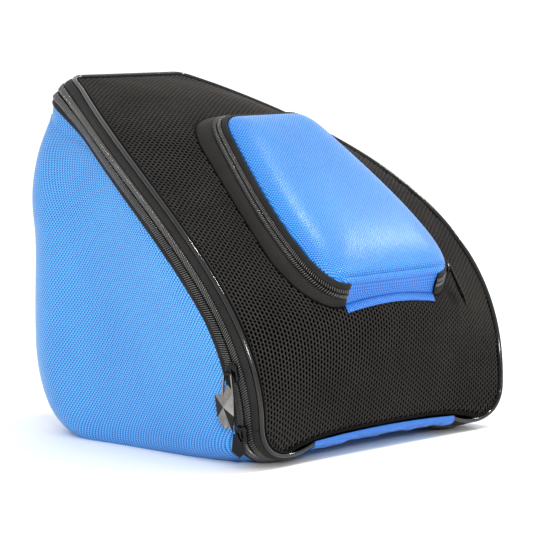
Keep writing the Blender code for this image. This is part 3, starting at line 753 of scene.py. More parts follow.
def tape_cloth(name, dark, light, roughness, pitch=0.0016, depth=0.00012, shine=0.14):
    """Close woven tape with faint ribs."""
    look = Look(name, roughness, Sheen_Weight=shine / 7, Sheen_Roughness=0.4, Specular_IOR_Level=shine)
    x, y, z = look.axes()
    threads = weave(look, look.maths("ADD", x, y), look.maths("SUBTRACT", z, y), pitch)
    cloud = look.noise(40.0)
    share = look.mixed(threads, 0.5, cloud, 0.5)
    return look.finish(share, dark, light, cloud, roughness - 0.1, roughness + 0.15, threads, depth)


def knitted(name, dark, light):
    """The mesh's threads: fine twisted yarn with fuzz."""
    look = Look(name, 0.62, Sheen_Weight=0.03, Sheen_Roughness=0.35, Specular_IOR_Level=0.12)
    yarn = look.noise(1400.0, 2.0)
    cloud = look.noise(22.0)
    return look.finish(look.mixed(yarn, 0.6, cloud, 0.4), dark, light, yarn, 0.5, 0.8, yarn, 0.00015)


def plastic(name, dark, light, roughness, coat=0.0, grain=300.0, depth=0.00005, shine=0.5):
    """Moulded plastic or rubber with a fine grain and small scuffs."""
    look = Look(name, roughness, Coat_Weight=coat, Coat_Roughness=0.12, Specular_IOR_Level=shine)
    speckle = look.noise(grain, 4.0)
    cloud = look.noise(14.0)
    share = look.mixed(cloud, 0.6, speckle, 0.4)
    worn = look.mixed(cloud, 0.5, speckle, 0.5)
    smoothest = max(roughness - 0.08, 0.04)
    return look.finish(share, dark, light, worn, smoothest, roughness + 0.14, speckle, depth)


def metal(name, dark, light, roughness):
    """Plated die casting with fine scratches."""
    look = Look(name, roughness, 1.0)
    stretched = look.node("Mapping", {"Vector": look.place, "Scale": (1.0, 1.0, 0.12)})
    scratches = look.node("TexNoise", {"Vector": stretched, "Scale": 2600.0, "Detail": 3.0})
    cloud = look.noise(120.0)
    return look.finish(cloud, dark, light, scratches, roughness - 0.06, roughness + 0.14, scratches, 0.00002)


# Dark and light colours of the woven cloths: painted shade in the weave's hollows and painted highlight on
# its crowns.
NYLON = woven("nylon_weave", (0.0003, 0.020, 0.27), (0.112, 0.52, 1.0), 0.0042, 0.30)
POCKET_CLOTH = woven("pocket_cloth", (0.0003, 0.018, 0.20), (0.060, 0.40, 1.0), 0.0034, 0.29, False)
WALL_CLOTH = woven("pocket_wall_cloth", (0.0003, 0.016, 0.18), (0.035, 0.30, 0.90), 0.0034, 0.36, False)
MESH_YARN = knitted("mesh_yarn", (0.0050, 0.0046, 0.0042), (0.072, 0.066, 0.061))
# A real layer behind the mesh, coloured near black as painted shade seen through the holes.
MESH_BACKING_SHADE = tape_cloth("mesh_backing_painted_shade", (0.0002, 0.0002, 0.0002), (0.0006, 0.0006, 0.0006), 0.85, shine=0.0)
ZIP_TAPE = tape_cloth("zip_tape", (0.0010, 0.0010, 0.0009), (0.048, 0.046, 0.044), 0.50, depth=0.0004)
# Near black, darker than the zip tape: the bindings' own black, and painted shade where it forms the beds
# between zip teeth and the line at the gusset's foot.
BINDING_AND_SHADE = tape_cloth("binding", (0.0010, 0.0010, 0.0010), (0.004, 0.0038, 0.0036), 0.6, shine=0.08)
COIL = plastic("zip_teeth", (0.016, 0.0156, 0.0152), (0.130, 0.126, 0.122), 0.14, coat=0.5)
GLOSS = plastic("glossy_piping", (0.001, 0.001, 0.001), (0.003, 0.003, 0.003), 0.08, coat=0.3)
LINING = tape_cloth("lining", (0.008, 0.008, 0.009), (0.028, 0.028, 0.030), 0.7, pitch=0.002)
GUNMETAL = metal("gunmetal", (0.14, 0.135, 0.13), (0.36, 0.35, 0.34), 0.09)
BLACK_METAL = plastic("black_lacquer", (0.002, 0.002, 0.002), (0.007, 0.006, 0.0055), 0.18, grain=500.0,
                      shine=0.35)
WEBBING = woven("webbing", (0.003, 0.003, 0.0035), (0.026, 0.026, 0.027), 0.0030, 0.6, False, 0.0006)
GRIP = plastic("soft_grip", (0.007, 0.007, 0.0075), (0.020, 0.020, 0.021), 0.6, grain=700.0, depth=0.0002)
BLACK_THREAD = knitted("black_thread", (0.012, 0.012, 0.012), (0.060, 0.060, 0.060))
BLUE_THREAD = knitted("blue_thread", (0.01, 0.10, 0.45), (0.05, 0.27, 0.85))
LIGHT_THREAD = knitted("grey_thread", (0.10, 0.10, 0.10), (0.26, 0.26, 0.26))


# ---------------------------------------------------------------- lid

def lid_middle(count=900):
    """The lid's middle line as (y, z), evenly spaced."""
    line = chain(*(cubic(points, 120) for points in (MIDDLE_FRONT, MIDDLE_POCKET, MIDDLE_TOP)))
    line = line * (DEPTH, TOP) + (FRONT, 0.0)
    along = lengths(line)
    return at_lengths(line, along, np.linspace(0.0, along[-1], count))


def lid_edge(rows):
    """The lid's right edge from its lowest point to its top corner, and how far the band leans there."""
    path, lean = rim_half(500)
    level = np.zeros(len(path))
    band = Band(path, unit(np.stack([level, np.cos(lean), -np.sin(lean)], axis=1)))
    edge = band.offset(0.0, -PIPING)
    lowest = int(np.argmin(edge[:, 2]))
    last = lowest + int(np.flatnonzero(path[lowest:, 0] < RIM_TOP[3][0] * HALF + 1e-6)[0])
    picked = np.linspace(lowest, last, rows).astype(int)
    return edge[picked], lean[picked]


def middle_places(edge, lean, middle):
    """Where on the middle line each row of the lid ends, kept in order and evened out."""
    ways = np.stack([np.sin(lean), np.cos(lean)], axis=1)
    places = np.array([float(np.argmin(np.abs((middle - e[1:]) @ way))) for e, way in zip(edge, ways)])
    places = np.maximum.accumulate(places - places[0]) / (places[-1] - places[0])
    places = (1 - EVEN_ROWS) * places + EVEN_ROWS * np.linspace(0.0, 1.0, len(edge))
    return smoothed(places, 20) * (len(middle) - 1)


class LidSurface:
    """The lid's outer surface over x and w, the distance up its middle line."""

    def __init__(self, rows=150, columns=121):
        edge, lean = lid_edge(rows)
        middle = lid_middle()
        centres = at_lengths(middle, np.arange(len(middle)), middle_places(edge, lean, middle))
        self.s = np.sin(np.linspace(-math.pi / 2, math.pi / 2, columns))
        bulge = (1 - self.s ** 2) ** LID_FLANK
        arch = 1 - self.s ** 4
        grid = []
        for point, centre in zip(edge, centres):
            low = max(1 - (point[2] - edge[0, 2]) / FOOT_REACH, 0.0)
            shape = (arch * low + bulge * (1 - low))[:, None]
            grid.append(np.column_stack([point[0] * self.s, point[1:] + shape * (centre - point[1:])]))
        self.grid = np.array(grid)
        self.half = self.grid[:, -1, 0]
        self.normal = grid_normals(self.grid)
        self.w = lengths(self.grid[:, columns // 2])

    def at(self, x, w, n=0.0):
        """Points at x across and w up the surface, raised by n."""
        half = np.interp(w, self.w, self.half)
        row = np.interp(w, self.w, np.arange(len(self.w)))
        column = np.interp(x / half, self.s, np.arange(len(self.s)))
        return sampled(self.grid, row, column) + np.asarray(n)[..., None] * sampled(self.normal, row, column)


def sampled(grid, row, column):
    """Values between the points of a grid."""
    r = np.clip(row.astype(int), 0, grid.shape[0] - 2)
    c = np.clip(column.astype(int), 0, grid.shape[1] - 2)
    fr, fc = (row - r)[..., None], (column - c)[..., None]
    low = grid[r, c] * (1 - fc) + grid[r, c + 1] * fc
    high = grid[r + 1, c] * (1 - fc) + grid[r + 1, c + 1] * fc
    return low * (1 - fr) + high * fr


LID = LidSurface()


def mesh_cells(low, high):
    """Column and row numbers of the holes between two distances up the lid."""
    rows = np.arange(int(low / HOLE_ROW) * 2, int(high / HOLE_ROW) * 2)
    most = int(LID.half.max() / HOLE_COLUMN) + 1
    i, k = (way.ravel() for way in np.meshgrid(np.arange(-most, most + 1), rows))
    w = (k + 2) * HOLE_ROW / 2
    inside = np.abs(i) * HOLE_COLUMN < np.interp(w, LID.w, LID.half) - MESH_MARGIN
    inside &= (w > 2 * MESH_MARGIN) & (w < LID.w[-1] - 2 * MESH_MARGIN)
    inside &= (i + k) % 2 == 0
    return i[inside], k[inside]


def mesh_panel(name, low, high):
    """Spacer mesh: staggered long holes between rounded threads, with real depth."""
    i, k = mesh_cells(low, high)
    lean = HOLE_COLUMN / 7
    corners = ((-1, -1), (1, -1), (1, 0), (1, 1), (-1, 1), (-1, 0))
    keys = np.stack([[2 * i + a, k + b] for a, b in corners], axis=0).transpose(2, 0, 1)
    unique, index = np.unique(keys.reshape(-1, 2), axis=0, return_inverse=True)
    index = index.reshape(-1, 6)
    outline = np.array([[a * (HOLE_COLUMN / 2 + (lean if b == 0 else -lean)), b * HOLE_ROW / 2]
                        for a, b in corners])
    centre = np.stack([i * HOLE_COLUMN, (k + 2) * HOLE_ROW / 2], axis=1)[:, None]
    shared = np.zeros((len(unique), 2))
    shared[index.ravel()] = (centre + outline).reshape(-1, 2)
    shared += RANDOM.normal(0.0, MESH_JITTER, shared.shape)
    rings = [shared] + [(centre + outline * scale).reshape(-1, 2) for scale in (HOLE_MOUTH, HOLE_THROAT)]
    points = [LID.at(*ring.T, depth) for ring, depth in zip(rings, HOLE_DEPTHS)]
    own = len(unique) + np.arange(index.size).reshape(-1, 6)
    faces = []
    for first, second in ((index, own), (own, own + index.size)):
        ring = [first, np.roll(first, -1, axis=1), np.roll(second, -1, axis=1), second]
        faces += np.stack(ring, axis=-1).reshape(-1, 4).tolist()
    return add_mesh(name, np.vstack(points), faces, MESH_YARN, "lid")


def lid_backing():
    """The layer behind the mesh, coloured near black as painted shade seen through the holes, and the lining
    behind that.
    """
    w = np.linspace(0.0, LID.w[-1], 90)[:, None]
    x = LID.s[None, ::2] * np.interp(w, LID.w, LID.half) * 0.999
    backing = slab("lid_backing", LID.at(x, w, -0.0016), 0.0018, MESH_BACKING_SHADE, "lid")
    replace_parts(backing, "lid_mesh_panel")
    slab("lid_lining", LID.at(x, w, -0.0036), BINDING_THICK, LINING, "lid")


def lid_binding():
    """The flat binding that covers the mesh's cut edge, with its seam."""
    w = np.linspace(0.0, LID.w[-1] - 0.001, 260)
    half = np.interp(w, LID.w, LID.half)
    section = ((0.0, 0.0), (0.0008, 0.0010), (0.0020, 0.0012), (0.0034, 0.0009), (0.0040, 0.0))
    for side, name in ((1, "right"), (-1, "left")):
        rows = np.array([LID.at(side * (half - inset), w, rise) for inset, rise in section])
        slab("lid_binding_" + name, rows, BINDING_THICK, BINDING_AND_SHADE, "lid")
        x = side * (half - BINDING_SEAM[0])
        seam = Band(LID.at(x, w, BINDING_SEAM[1]), (1.0, 0.0, 0.0))
        seam.out = unit(LID.at(x, w, BINDING_SEAM[1] + 0.001) - seam.point)
        stitches("binding_seam_" + name, seam, 0.0, 0.0, BLACK_THREAD, "lid", "spacer_mesh")


def lid_edges():
    """Flat bindings across the mesh's foot and its top edge."""
    rise = np.array((0.0002, 0.0012, 0.0014, 0.0012, 0.0002))[:, None]
    for name, low, high in (("foot", 0.0, 0.0034), ("top", LID.w[-1] - 0.0045, LID.w[-1])):
        w = np.linspace(low, high, 5)[:, None]
        x = np.linspace(-1.0, 1.0, 81) * np.interp(w, LID.w, LID.half)
        slab("lid_binding_" + name, LID.at(x, w, rise), BINDING_THICK, BINDING_AND_SHADE, "lid")


def lid_parts():
    """Mesh, backing, bindings and piping."""
    split = LID.w[-1] * 0.5
    split -= split % HOLE_ROW
    mesh_panel("lid_mesh_front", 0.0, split)
    mesh_panel("lid_mesh_top", split, LID.w[-1])
    lid_backing()
    lid_binding()
    lid_edges()
    piping = ribbon("piping", RIM, circle(PIPING * 1.05, 14), GLOSS, "lid")
    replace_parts(piping, "lid_piping")
    lip = [(0.0012, -0.0014), (0.0012, 0.0006), (0.0026, 0.0008), (0.0030, -0.0014)]
    ribbon("piping_lip", RIM, lip, BINDING_AND_SHADE, "lid")


# ---------------------------------------------------------------- main zip

def zip_reach():
    """The stretch of the rim that opens with the lid, and the two short ones at its foot that don't."""
    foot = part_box("lid_zip_tape")[0].z + 0.012
    from_end = np.minimum(np.arange(len(RIM.point)), np.arange(len(RIM.point))[::-1])
    rises = (RIM.point[:, 2] > foot) & (from_end > 22)
    first, last = np.flatnonzero(rises)[[0, -1]]
    return RIM.part(slice(first, last + 1)), RIM.part(slice(0, first + 1)), RIM.part(slice(last, None))


def zip_row(bed, row, band, coil, body, tilt, teeth):
    """A row of zip teeth on its bed; teeth holds the height of the bed's top, then the teeth's own sizes."""
    top, out, pitch, *sizes = teeth
    # The bed takes the near-black binding cloth as painted shade in the gaps between the teeth.
    ribbon(bed, band, domed(*coil, -BINDING_THICK, top, 5), BINDING_AND_SHADE, body)
    return row_of_bumps(row, band, sum(coil) / 2, out, pitch, *sizes, COIL, body, "zip_coil", tilt)


def lid_zip(band, ending, body):
    """The lid's half of the zip along a stretch of the rim; beside the hinge, where on the bag the tape bends
    with the lid, its tape and seam are fixed pieces on no body.
    """
    bends = body == "bag"
    holder = None if bends else body
    tape = ribbon("main_zip_lid_tape" + ending, band, domed(*LID_TAPE, -0.0004, 0.0018), ZIP_TAPE, holder)
    teeth = zip_row("main_zip_lid_bed" + ending, "main_zip_lid_teeth" + ending, band, LID_COIL, body,
                    TOOTH_LEAN, MAIN_TEETH)
    seam = stitches("main_zip_lid_seam" + ending, band, LID_TAPE[0] + 0.0022, 0.0015, BLACK_THREAD, holder,
                    "zip_tape")
    for piece in (tape, seam) if bends else ():
        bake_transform(piece)
    return tape, teeth


def main_zip():
    """Both tapes, both rows of teeth and the seams beside them."""
    upper, right_foot, left_foot = zip_reach()
    tape, teeth = lid_zip(upper, "", "lid")
    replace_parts(tape, "lid_zip_tape")
    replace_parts(teeth, "lid_zip_coil")
    lid_zip(right_foot, "_right_foot", "bag")
    lid_zip(left_foot, "_left_foot", "bag")
    tape = ribbon("main_zip_body_tape", RIM, domed(*BODY_TAPE, -0.0006, 0.0009), ZIP_TAPE, "bag")
    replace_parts(tape, "body_zip_tape")
    teeth = zip_row("main_zip_body_bed", "main_zip_body_teeth", RIM, BODY_COIL, "bag", -TOOTH_LEAN,
                    MAIN_TEETH)
    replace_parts(teeth, "body_zip_coil")
    stitches("main_zip_seam", RIM, BODY_TAPE[1] - 0.0016, 0.0008, BLACK_THREAD, "bag", "zip_tape")


# ---------------------------------------------------------------- shell

def shell():
    """Side panels, back, base, their seams and what lies inside."""
    sides = [refined(side + "_side_panel", side + "_side_cloth", NYLON, "bag", 3, soft_cloth)
             for side in ("left", "right")]
    back = refined("back_panel", "back_cloth", NYLON, "bag", 4, quilted_back)
    refined("base_panel", "base_cloth", NYLON, "bag", 1, raised_tongue)
    pad = refined("back_pad", "back_cushion", LINING, "bag", 1)
    swollen(pad)
    reshape(pad, cushion)
    seam_piping(back)
    rim_facing(sides + [back])
    channel_seams(back)
    stay = {"base_board": LINING, "zip_stop_left": BLACK_METAL, "zip_stop_right": BLACK_METAL}
    for node, look in stay.items():
        paint(frame["nodes"][node].data, look)


def channel_seams(back):
    """Rows of stitches in the grooves between the back's channels."""
    tree = cloth_tree([back])
    x = np.linspace(-SEAM + 0.010, SEAM - 0.010, 60)
    for k in range(CHANNELS):
        band = Band(on_cloth(tree, [(a, CHANNEL_TOP - k * CHANNEL) for a in x]), (0.0, 0.0, 1.0))
        stitches("channel_seam_" + str(k + 1), band, 0.0, 0.0, BLUE_THREAD, "bag", "nylon")


def hinge():
    """The blue strip along the lid's foot, which on the bag bends as the lid opens; here it is a fixed sheet
    on no body.
    """
    low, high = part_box("hinge_strip")
    x = np.linspace(low.x - 0.004, high.x + 0.004, 121)
    arch = STRIP_ARCH * (1 - (x / high.x) ** 2)
    wave = 0.0006 * np.sin(x * 110.0) + 0.0004 * np.sin(x * 251.0 + 1.0)
    rows = []
    for share in np.linspace(0.0, 1.0, 13):
        z = low.z - 0.0030 + (STRIP_HEIGHT + wave * (1 - share)) * share + arch + wave * (1 - share)
        y = low.y - 0.0006 + 0.0050 * (1 - share) ** 3 - 0.0006 * np.sin(math.pi * share)
        rows.append(np.column_stack([x, np.full(x.shape, y), z]))
    strip = slab("hinge_cloth", np.array(rows), CLOTH_THICK, WALL_CLOTH, None, (0.0, -1.0, -0.3))
    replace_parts(strip, "hinge_strip")
    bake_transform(strip)


# ---------------------------------------------------------------- pocket

def pocket_point(x, p, n=0.0):
    """A point given in the pocket's own frame."""
    x, p, n = np.broadcast_arrays(x, p, n)
    right = np.array((1.0, 0.0, 0.0))
    return POCKET_HINGE + x[..., None] * right + p[..., None] * POCKET_UP + n[..., None] * POCKET_OUT


def pocket_outline(count=90):
    """Right half of the pocket's outline as (x, p)."""
    edge = np.linspace(POCKET_TOP[3], (0.0, 1.0), 20)
    path = chain(cubic(POCKET_CORNER, 40), cubic(POCKET_SIDE, 60), cubic(POCKET_TOP, 30), edge)
    path = path * (POCKET_HALF, POCKET_LENGTH)
    along = lengths(path)
    return at_lengths(path, along, np.linspace(0.0, along[-1], count))


def pocket_band():
    """The pocket zip's path over the right side, the top and the left side."""
    half = pocket_outline()
    point = both_sides(pocket_point(half[:, 0], half[:, 1]))
    along = unit(np.gradient(point, axis=0))
    p = np.concatenate([half[:, 1], half[-2::-1, 1]])
    flare = WALL_FLARE + (SIDE_FLARE - WALL_FLARE) * np.clip(p / 0.05, 0.0, 1.0)
    down = unit(flare[:, None] * np.cross(along, POCKET_OUT) - POCKET_OUT)
    return Band(point, down)


def depth_to_lid(points, direction):
    """Distance from each point to the lid's outer surface."""
    grid = LID.grid
    faces = grid_faces(*grid.shape[:2])
    tree = BVHTree.FromPolygons(grid.reshape(-1, 3).tolist(), faces)
    hits = [tree.ray_cast(Vector(p), Vector(d))[3] for p, d in zip(points, direction)]
    return np.array([0.02 if hit is None else hit for hit in hits])


def pocket_zip(band):
    """Tape and two rows of teeth, the upper one on the cover."""
    tape = ribbon("pocket_zip_tape", band, domed(*POCKET_TAPE, -0.0004, 0.0010), ZIP_TAPE, "pocket_cover")
    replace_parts(tape, "pocket_flap_tape")
    for place, coil, body, lean in (("upper", POCKET_UPPER_COIL, "pocket_cover", POCKET_TOOTH_LEAN),
                                    ("lower", POCKET_LOWER_COIL, "lid", -POCKET_TOOTH_LEAN)):
        teeth = zip_row("pocket_zip_bed_" + place, "pocket_zip_" + place + "_teeth", band, coil, body, lean,
                        POCKET_TEETH)
        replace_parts(teeth, "pocket_" + place + "_coil")
    stitches("pocket_tape_seam", band, POCKET_TAPE[0] + 0.0016, 0.0009, BLACK_THREAD, "pocket_cover",
             "zip_tape", 0.0030, 0.0021)


def pocket_gusset(band):
    """The black wall between the zip and the mesh, with a bound foot."""
    foot = depth_to_lid(band.point, band.across) + 0.0008
    share = np.linspace(0.0, 1.0, 9)[:, None, None]
    near = band.offset(POCKET_GUSSET_START, 0.0002)
    far = band.point + foot[:, None] * band.across
    wall = near * (1 - share) + far * share + 0.0012 * np.sin(math.pi * share) * band.out
    gusset = slab("gusset_cloth", wall, 0.0010, ZIP_TAPE, "lid")
    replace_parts(gusset, "pocket_gusset")
    rim = Band(far, band.across)
    # Near-black foot binding: a binding whose dark line is also painted shade where the gusset meets the
    # mesh.
    ribbon("gusset_foot_binding", rim, circle(0.0013, 10, -0.0006), BINDING_AND_SHADE, "lid")
    stitches("gusset_seam", rim, -0.0040, 0.0006, BLACK_THREAD, "lid", "zip_tape")


def pocket_cover():
    """The moulded cover: a domed face with a rounded edge and a groove along its foot."""
    half = pocket_outline(70)
    outer = []
    for share in 1 - np.linspace(0.0, 1.0, 70) ** 1.5 * 0.985:
        x = half[:, 0] * share
        p = COVER_MIDDLE + (half[:, 1] - COVER_MIDDLE) * share
        lift = (POCKET_DOME + COVER_SINK) * (1 - share ** 4) ** 0.60 - COVER_SINK
        along_foot = np.clip(1 - np.abs(x) / COVER_GROOVE_HALF, 0.0, 1.0) ** 0.2
        groove = COVER_GROOVE * np.exp(-((p - 0.0050) / 0.0013) ** 2) * along_foot
        ring = both_sides(pocket_point(x, p, lift - groove))
        foot = ring[-1] + (ring[0] - ring[-1]) * np.linspace(0.0, 1.0, 40)[1:-1, None]
        outer.append(np.vstack([ring, foot]))
    outer = np.array(outer)
    rows, columns = outer.shape[:2]
    shift = rows * columns
    faces = grid_faces(rows, columns, closed=True) + [list(range(shift - columns, shift))]
    faces += [[a + shift for a in face] for face in faces] + edge_faces(np.arange(columns), shift)
    both = np.stack([outer, outer - COVER_THICK * POCKET_OUT])
    cover = add_mesh("pocket_cover_cloth", both, faces, POCKET_CLOTH, "pocket_cover")
    face_out(cover)
    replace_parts(cover, "pocket_flap")


def pocket_wall():
    """The blue wall along the pocket's foot, which the cover turns on, sewn to the mesh."""
    x = np.linspace(-WALL_HALF - 0.003, WALL_HALF + 0.003, 49)
    line = pocket_point(x, 0.0)
    drop = unit(-POCKET_OUT - WALL_FLARE * POCKET_UP)
    reach = depth_to_lid(line, np.tile(drop, (len(line), 1))) + 0.0008
    face = np.cross((1.0, 0.0, 0.0), drop)
    rows = []
    for share in np.linspace(0.0, 1.0, 13):
        across = 0.0006 * (1 - share) + reach * share
        rows.append(line + across[:, None] * drop + 0.0016 * math.sin(math.pi * share) * face)
    wall = slab("pocket_wall_cloth", np.array(rows), CLOTH_THICK, WALL_CLOTH, "lid",
                (0.0, -1.0, -0.5))
    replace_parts(wall, "pocket_hinge_wall")
    stitches("pocket_wall_seam", Band(rows[-1], drop), -0.0030, -0.0009, BLUE_THREAD, "lid", "nylon")
    pocket_wall_hem(x, rows[-1])


def pocket_wall_hem(x, foot):
    """The wall's hem, lying on the mesh below the wall's foot."""
    up = np.linspace(0.0, LID.w[-1], 400)
    start = [up[np.argmin(np.linalg.norm(LID.at(a, up) - point, axis=1))] for a, point in zip(x, foot)]
    start = smoothed(np.array(start), 40)
    rows = [LID.at(x * HEM_SHARE, start + along, 0.0016) for along in np.linspace(0.002, -WALL_HEM, 6)]
    slab("pocket_wall_hem", np.array(rows), 0.0010, WALL_CLOTH, "lid")


def pocket():
    """The whole pocket."""
    band = pocket_band()
    pocket_zip(band)
    pocket_gusset(band)
    pocket_cover()
    pocket_wall()


# ---------------------------------------------------------------- hardware

def solid(name, seat, sections, look, body, bevel=0.0003, smooth=False):
    """A solid through closed outlines given as (along, across, out) in a seat's frame."""
    centre, along, across, out = seat
    sections = np.array(sections)
    points = centre + sections[..., :1] * along + sections[..., 1:2] * across + sections[..., 2:] * out
    made = lofted(name, points, look, body, smooth)
    if bevel:
        edge = made.modifiers.new("edge", "BEVEL")
        edge.width = bevel
        edge.segments = 2
        edge.limit_method = "ANGLE"
    return made


def raised(outline, levels):
    """Sections of an outline at (height, share) levels, scaled about its middle."""
    outline = np.array(outline)
    middle = outline.mean(axis=0)
    return [np.column_stack([middle + (outline - middle) * share, np.full(len(outline), height)])
            for height, share in levels]


def slider_body(name, seat, body, scale, node):
    """A slider: a waisted base plate, a crowned top plate and the bridge that holds its pull."""
    long, wide = 0.0082 * scale, 0.0064 * scale
    waist = ((-long, 0.6), (-long * 0.55, 0.78), (long * 0.1, 0.82), (long * 0.62, 1.0), (long, 0.62))
    outline = [(along, -wide * share) for along, share in waist]
    outline += [(along, wide * share) for along, share in waist[::-1]]
    top = SLIDER_RIDE + 0.0034 * scale
    sections = raised(outline, ((SLIDER_RIDE, 1.0), (top - 0.0010, 1.0), (top, 0.86)))
    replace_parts(solid(name, seat, sections, BLACK_METAL, body), node)
    arch = []
    for a in np.linspace(0.0, math.pi, 9):
        ring = []
        for b in np.linspace(0.0, 2 * math.pi, 8, endpoint=False):
            grow = 0.0042 * scale + 0.0009 * scale * math.cos(b)
            ring.append((-math.cos(a) * grow * 1.1, 0.0011 * scale * math.sin(b),
                         top - 0.0012 + math.sin(a) * grow * 0.62))
        arch.append(ring)
    solid(name + "_bridge", seat, arch, BLACK_METAL, body, 0.0, True)
    return top


def hanging(seat, swing=0.0):
    """A seat whose length points down the slider's face, then swings out from it."""
    centre, _, _, out = seat
    down = np.array((0.0, 0.0, -1.0))
    down = unit(down - np.dot(down, out) * out)
    across = unit(np.cross(out, down))
    swung = math.cos(swing) * down + math.sin(swing) * out
    return centre, swung, across, np.cross(swung, across)


def faceted_pull(seat, height):
    """The gunmetal pull: a faceted gem shape with dark facets, two side bars and a head."""
    pull_gem(seat, height)
    for sign, side in ((-1, "left"), (1, "right")):
        corners = ((-0.0010, 0.0028), (-0.0010, 0.0042), (0.0200, 0.0062), (0.0200, 0.0048))
        bar = [(along, sign * across) for along, across in corners]
        sections = raised(bar, ((height, 1.0), (height + 0.0016, 1.0), (height + 0.0022, 0.85)))
        solid("upper_pull_bar_" + side, seat, sections, GUNMETAL, "upper_zip_pull", 0.0002)
    head = [(-0.0022, -0.0042), (0.0006, -0.0042), (0.0006, 0.0042), (-0.0022, 0.0042)]
    solid("upper_pull_head", seat, raised(head, ((height, 1.0), (height + 0.0020, 0.9))), BLACK_METAL,
          "upper_zip_pull", 0.0004)


def pull_gem(seat, height):
    """The pull's gem: facets from its outline to a crown above and a point below."""
    centre, down, side, out = seat
    outline = [(0.0085, 0.0), (0.0150, 0.0055), (0.0365, 0.0055), (0.0500, 0.0036), (0.0460, -0.0010),
               (0.0488, -0.0040), (0.0385, -0.0112), (0.0185, -0.0135), (0.0170, -0.0060)]
    crown = (0.0285, -0.0035)
    points = [(a, b, height + rise) for rise in (0.0, 0.0011) for a, b in outline]
    points += [(*crown, height + 0.0040), (*crown, height)]
    size = len(outline)
    faces = []
    for k in range(size):
        following = (k + 1) % size
        faces.append((k, following, following + size, k + size))
        faces.append((k + size, following + size, 2 * size))
        faces.append((following, k, 2 * size + 1))
    placed = [centre + a * down + b * side + n * out for a, b, n in points]
    pull = face_out(add_mesh("upper_pull_gem", placed, faces, GUNMETAL, "upper_zip_pull", False))
    pull.data.materials.append(BLACK_METAL)
    for facet in DARK_FACETS:
        pull.data.polygons[3 * facet + 1].material_index = 1
    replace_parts(pull, "upper_pull")


def pointed_pull(name, seat, height, length, wide, thick, body, node):
    """A black pull: a narrow head that widens, then a pointed foot with bevelled edges."""
    outline = [(-0.0008, -wide * 0.30), (-0.0008, wide * 0.30), (length * 0.30, wide * 0.62),
               (length * 0.74, wide), (length, 0.0), (length * 0.74, -wide), (length * 0.30, -wide * 0.62)]
    bevels = ((0.0, 0.94), (0.3, 1.0), (0.7, 1.0), (1.0, 0.86))
    levels = [(height + thick * share, scale) for share, scale in bevels]
    made = solid(name, seat, raised(outline, levels), BLACK_METAL, body, 0.0002)
    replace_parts(made, node)


def hardware():
    """The main zip's two sliders and their pulls, then the pocket's."""
    upper = slider_seat("upper_slider")
    lower = slider_seat("lower_slider")
    top = slider_body("upper_slider_body", upper, "upper_zip_slider", 1.0, "upper_slider")
    slider_body("lower_slider_body", lower, "lower_zip_slider", 0.95, "lower_slider")
    faceted_pull(hanging(moved(upper, UPPER_PULL_ASIDE)), top + 0.0022)
    pointed_pull("lower_pull_blade", hanging(moved(lower, LOWER_PULL_ASIDE)), top + 0.0002, 0.0222, 0.0076,
                 0.0018, "lower_zip_pull", "lower_pull")
    pocket_hardware()


def moved(seat, aside):
    """A seat moved across the zip band."""
    return (seat[0] + aside * seat[2], *seat[1:])


def station(z, aside):
    """Centre, along, across and out of the left side's zip band at height z, moved across it by aside."""
    half = len(RIM.point) // 2
    steep = slice(half // 9, half - 45)
    heights = RIM.point[steep, 2]
    values = (RIM.point, RIM.along, RIM.across, RIM.out)
    point, *axes = (mirrored(at_lengths(v[steep], heights, [z])[0]) for v in values)
    along, across, out = (unit(axis) for axis in axes)
    return point + aside * across, along, across, out


def slider_seat(node):
    """The zip's frame on the left side, its centre as high as the middle of a CAD slider."""
    low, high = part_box(node)
    middle = (low.z + high.z) / 2
    across = (LID_COIL[1] + BODY_COIL[0]) / 2
    return station(2 * middle - station(middle, across)[0][2], across)


def pocket_hardware():
    """The pocket's small slider and the black pull that hangs from it."""
    band = pocket_band()
    centre = np.mean(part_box("pocket_slider"), axis=0)
    line = band.offset((POCKET_UPPER_COIL[1] + POCKET_LOWER_COIL[0]) / 2)
    nearest = int(np.argmin(np.linalg.norm(line - centre, axis=1)))
    seat = (line[nearest], band.along[nearest], band.across[nearest], band.out[nearest])
    top = slider_body("pocket_slider_body", seat, "pocket_zip_slider", 0.7, "pocket_slider")
    pointed_pull("pocket_pull_blade", hanging(seat, POCKET_PULL_SWING), top, 0.043, 0.0066, 0.0016,
                 "pocket_zip_pull", "pocket_pull")


# ---------------------------------------------------------------- carrying handle

def handle():
    """Webbing, ribbed grip and the stitched patches."""
    refined("handle_webbing", "handle_web", WEBBING, "handle")
    refined("handle_grip", "handle_sleeve", GRIP, "handle", 4, ribbed)
    for side in ("left", "right"):
        node = "handle_patch_" + side
        refined(node, node + "_web", WEBBING, "bag", 3)
        box_stitch(node + "_seam", *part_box(node))


def ribbed(points, normals):
    """The grip's sleeve with shallow ribs round it."""
    rise = GRIP_RIB * np.abs(np.sin(points[:, 0] * math.pi / GRIP_RIB_PITCH))
    return points + rise[:, None] * normals


def box_stitch(name, low, high):
    """A square of stitches with a cross, on a patch facing back."""
    inset = 0.003
    x0, x1, z0, z1 = low[0] + inset, high[0] - inset, low[2] + inset, high[2] - inset
    corners = [(x0, z0), (x1, z0), (x1, z1), (x0, z1)]
    runs = [(corners[k], corners[(k + 1) % 4]) for k in range(4)]
    runs += [(corners[0], corners[2]), (corners[1], corners[3])]
    for k, (start, end) in enumerate(runs):
        line = np.linspace((start[0], high[1], start[1]), (end[0], high[1], end[1]), 12)
        side = unit(np.cross((0.0, 1.0, 0.0), line[-1] - line[0]))
        stitches(name + "_" + str(k + 1), Band(line, side), 0.0, 0.0, LIGHT_THREAD, "bag", "webbing")


# ---------------------------------------------------------------- stage

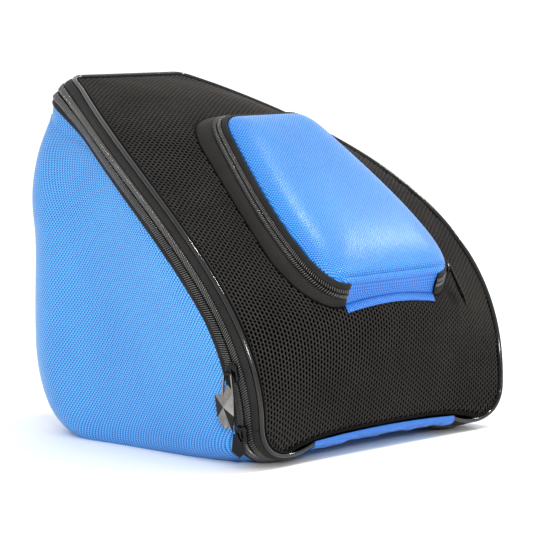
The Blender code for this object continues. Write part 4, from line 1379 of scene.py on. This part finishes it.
def camera():
    """The main view: from the front left, a little above the floor."""
    target = Vector((0.0, -0.0249, 0.1579))
    azimuth, elevation, distance = math.radians(-50.5), math.radians(5.4), 2.867
    level = math.cos(elevation)
    back = Vector((math.sin(azimuth) * level, -math.cos(azimuth) * level, math.sin(elevation)))
    data = bpy.data.cameras.new("camera")
    data.sensor_width = 36.0
    data.lens = 206.0
    data.clip_end = 20.0
    bpy.context.scene.camera = aimed("camera", data, target + back * distance, target)


def aimed(name, data, place, aim):
    """A camera or a light at a place, aimed at a point."""
    made = linked(name, data)
    made.location = place
    made.rotation_mode = "QUATERNION"
    made.rotation_quaternion = (Vector(aim) - Vector(place)).to_track_quat("-Z", "Y")
    return made


def light(name, place, aim, size, power):
    """A soft square white light at a place, aimed at a point."""
    data = bpy.data.lights.new(name, "AREA")
    data.shape = "SQUARE"
    data.size = size
    data.energy = power
    aimed(name, data, place, aim)


def studio():
    """A pale floor, a pale surround and three soft lights."""
    look = Look("studio_floor", 0.7)
    cloud = look.noise(3.0)
    look.tree.links.new(look.blend(cloud, (0.96, 0.96, 0.96), (0.985, 0.985, 0.985)),
                        look.shader.inputs["Base Color"])
    reach = 40.0
    mesh = bpy.data.meshes.new("floor")
    corners = [(-reach, -reach, 0.0), (reach, -reach, 0.0), (reach, reach, 0.0), (-reach, reach, 0.0)]
    mesh.from_pydata(corners, [], [(0, 1, 2, 3)])
    mesh.materials.append(look.material)
    linked("floor", mesh)
    world = bpy.data.worlds.new("surround")
    world.use_nodes = True
    surround = world.node_tree.nodes["Background"].inputs
    surround["Color"].default_value = (1.0, 1.0, 1.0, 1.0)
    surround["Strength"].default_value = 1.02
    bpy.context.scene.world = world
    bpy.context.scene.view_settings.view_transform = "Standard"
    bpy.context.scene.view_settings.look = "Medium High Contrast"
    light("key", (-1.3, -1.2, 0.5), (0.0, -0.05, 0.08), 0.16, 10.0)
    light("gloss", (0.75, -0.62, 2.10), (0.0, 0.0, 0.2), 0.22, 15.0)
    light("edge", (1.77, -0.46, 1.40), (0.0, 0.0, 0.2), 0.20, 9.0)


# ---------------------------------------------------------------- assembly

lid_parts()
main_zip()
shell()
hinge()
pocket()
hardware()
handle()
camera()
studio()
